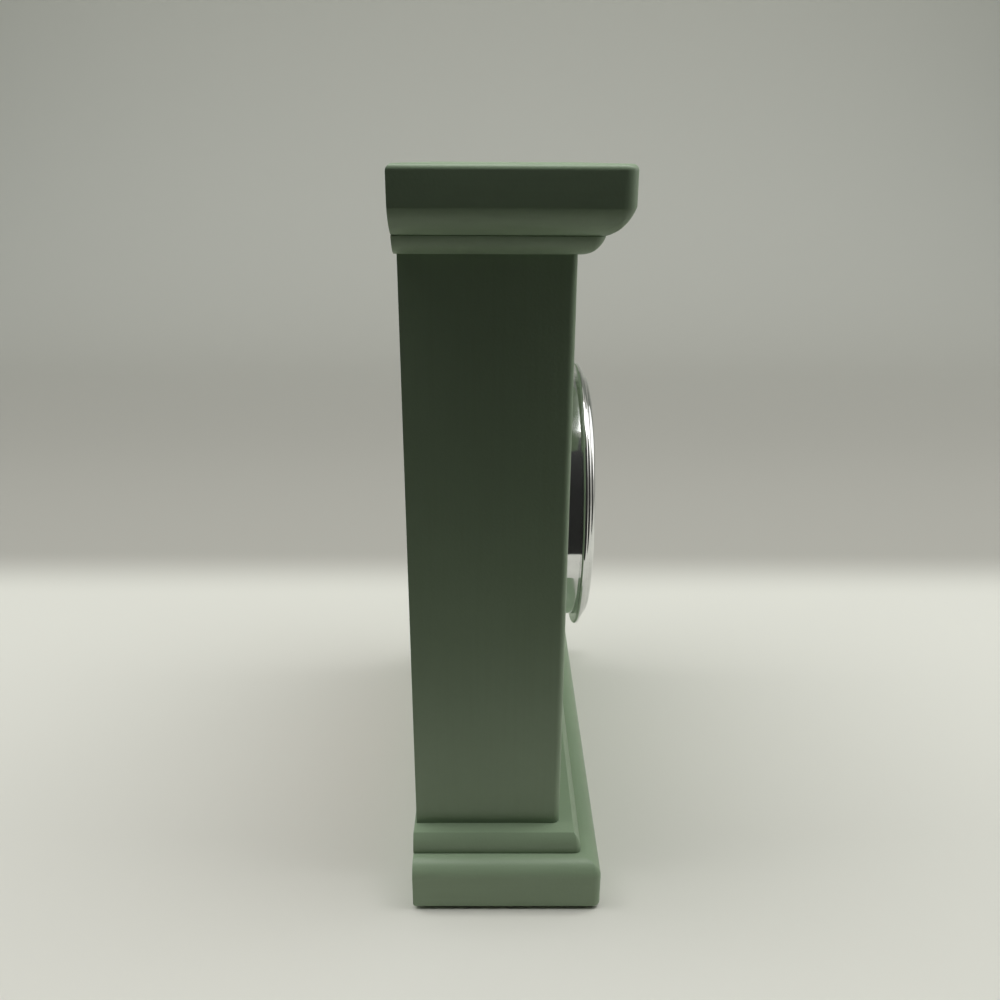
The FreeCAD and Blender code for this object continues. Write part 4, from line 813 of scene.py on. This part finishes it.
def sweep():
    mesh = bmesh.new()
    bend = arc((BEND_START, BEND_RADIUS), BEND_RADIUS, 270, 360, 16)
    line = [(-SHEET_REACH, 0.0)] + bend + [(BEND_START + BEND_RADIUS, SHEET_TOP)]
    near, far = ([mesh.verts.new((x, y, z)) for x, z in line] for y in (-SHEET_REACH, SHEET_REACH))
    for place in range(len(line) - 1):
        mesh.faces.new((near[place], near[place + 1], far[place + 1], far[place])).smooth = True
    piece = new_object("sweep", mesh, paper_grey())
    return piece


print("sweep:", len(sweep().data.polygons), "faces")

# %% [markdown]
# ## Lamps
# The light in the photograph is soft and comes from straight above, so the ledges are bright and the near
# side is in shade, darkest under the cornice. One long lamp hangs over the clock and runs from its front to
# its back. Two weak lamps give the front and the back some light of their own for other viewpoints. They
# shine along the near side, so they leave its shade alone.

# %% Lamps
def soft_lamp(name, place, target, wide, long, power):
    """Rectangular lamp that faces a target, with its sides in metres and its power in watts."""
    lamp = bpy.data.lights.new(name, "AREA")
    lamp.shape = "RECTANGLE"
    lamp.size = wide
    lamp.size_y = long
    lamp.energy = power
    holder = bpy.data.objects.new(name, lamp)
    turn = (Vector(target) - Vector(place)).to_track_quat("-Z", "Y").to_matrix().to_4x4()
    holder.matrix_world = Matrix.Translation(place) @ turn
    bpy.context.scene.collection.objects.link(holder)
    return holder


MIDDLE = (0, 0, 0.15)
lamps = [
    soft_lamp("overhead", (-0.02, 0, 1.25), (-0.02, 0, 0), wide=0.5, long=2.2, power=17.0),
    soft_lamp("front_fill", (0.35, -1.3, 0.75), MIDDLE, wide=0.9, long=0.9, power=3.0),
    soft_lamp("back_fill", (0.35, 1.3, 0.75), MIDDLE, wide=0.9, long=0.9, power=2.0),
]
print("lamps:", ", ".join(f"{lamp.name} {lamp.data.energy:.0f} W" for lamp in lamps))

# %% [markdown]
# ## Dark card
# A photographer darkens one side of a shiny object with a black card just out of the picture. This one
# stands on the camera's side. It keeps the world's light off the near side and gives the chrome its dark
# band. The camera looks through it, and the lamps' light passes it, so it throws no shadow on the paper.

# %% Dark card
def dark_card(x, half_width, height):
    mesh = bmesh.new()
    corners = [(x, -half_width, 0), (x, half_width, 0), (x, half_width, height), (x, -half_width, height)]
    mesh.faces.new([mesh.verts.new(corner) for corner in corners])
    black = Finish("card_black", Base_Color=(0.02, 0.02, 0.02, 1), Roughness=0.9)
    piece = new_object("dark_card", mesh, black.material)
    piece.visible_camera = False
    piece.visible_shadow = False
    return piece


card = dark_card(x=-0.235, half_width=1.4, height=0.8)
print("card:", card.dimensions)

# %% [markdown]
# ## World
# A dim world fills the shadows, but a dark background would also show in the chrome and behind the clock.
# So the world has two colours: rays that the camera, a mirror or the glass sends out find a pale room, and
# all other rays find the dim light.

# %% World
world = bpy.data.worlds.new("studio")
bpy.context.scene.world = world
world.use_nodes = True
studio = world.node_tree
rays = studio.nodes.new("ShaderNodeLightPath")
seen = rays.outputs["Is Camera Ray"]
for kind in ("Is Glossy Ray", "Is Transmission Ray"):
    either = studio.nodes.new("ShaderNodeMath")
    either.operation = "MAXIMUM"
    studio.links.new(seen, either.inputs[0])
    studio.links.new(rays.outputs[kind], either.inputs[1])
    seen = either.outputs[0]
air = studio.nodes.new("ShaderNodeMix")
air.data_type = "RGBA"
air.inputs[MIX_FIRST].default_value = (0.22, 0.245, 0.24, 1)
air.inputs[MIX_SECOND].default_value = paint(196, 195, 188)
studio.links.new(seen, air.inputs[MIX_SHARE])
studio.links.new(air.outputs[MIX_RESULT], studio.nodes["Background"].inputs["Color"])
studio.nodes["Background"].inputs["Strength"].default_value = 1.0
bpy.context.scene.view_settings.view_transform = "Standard"
print("world:", len(studio.nodes), "nodes")
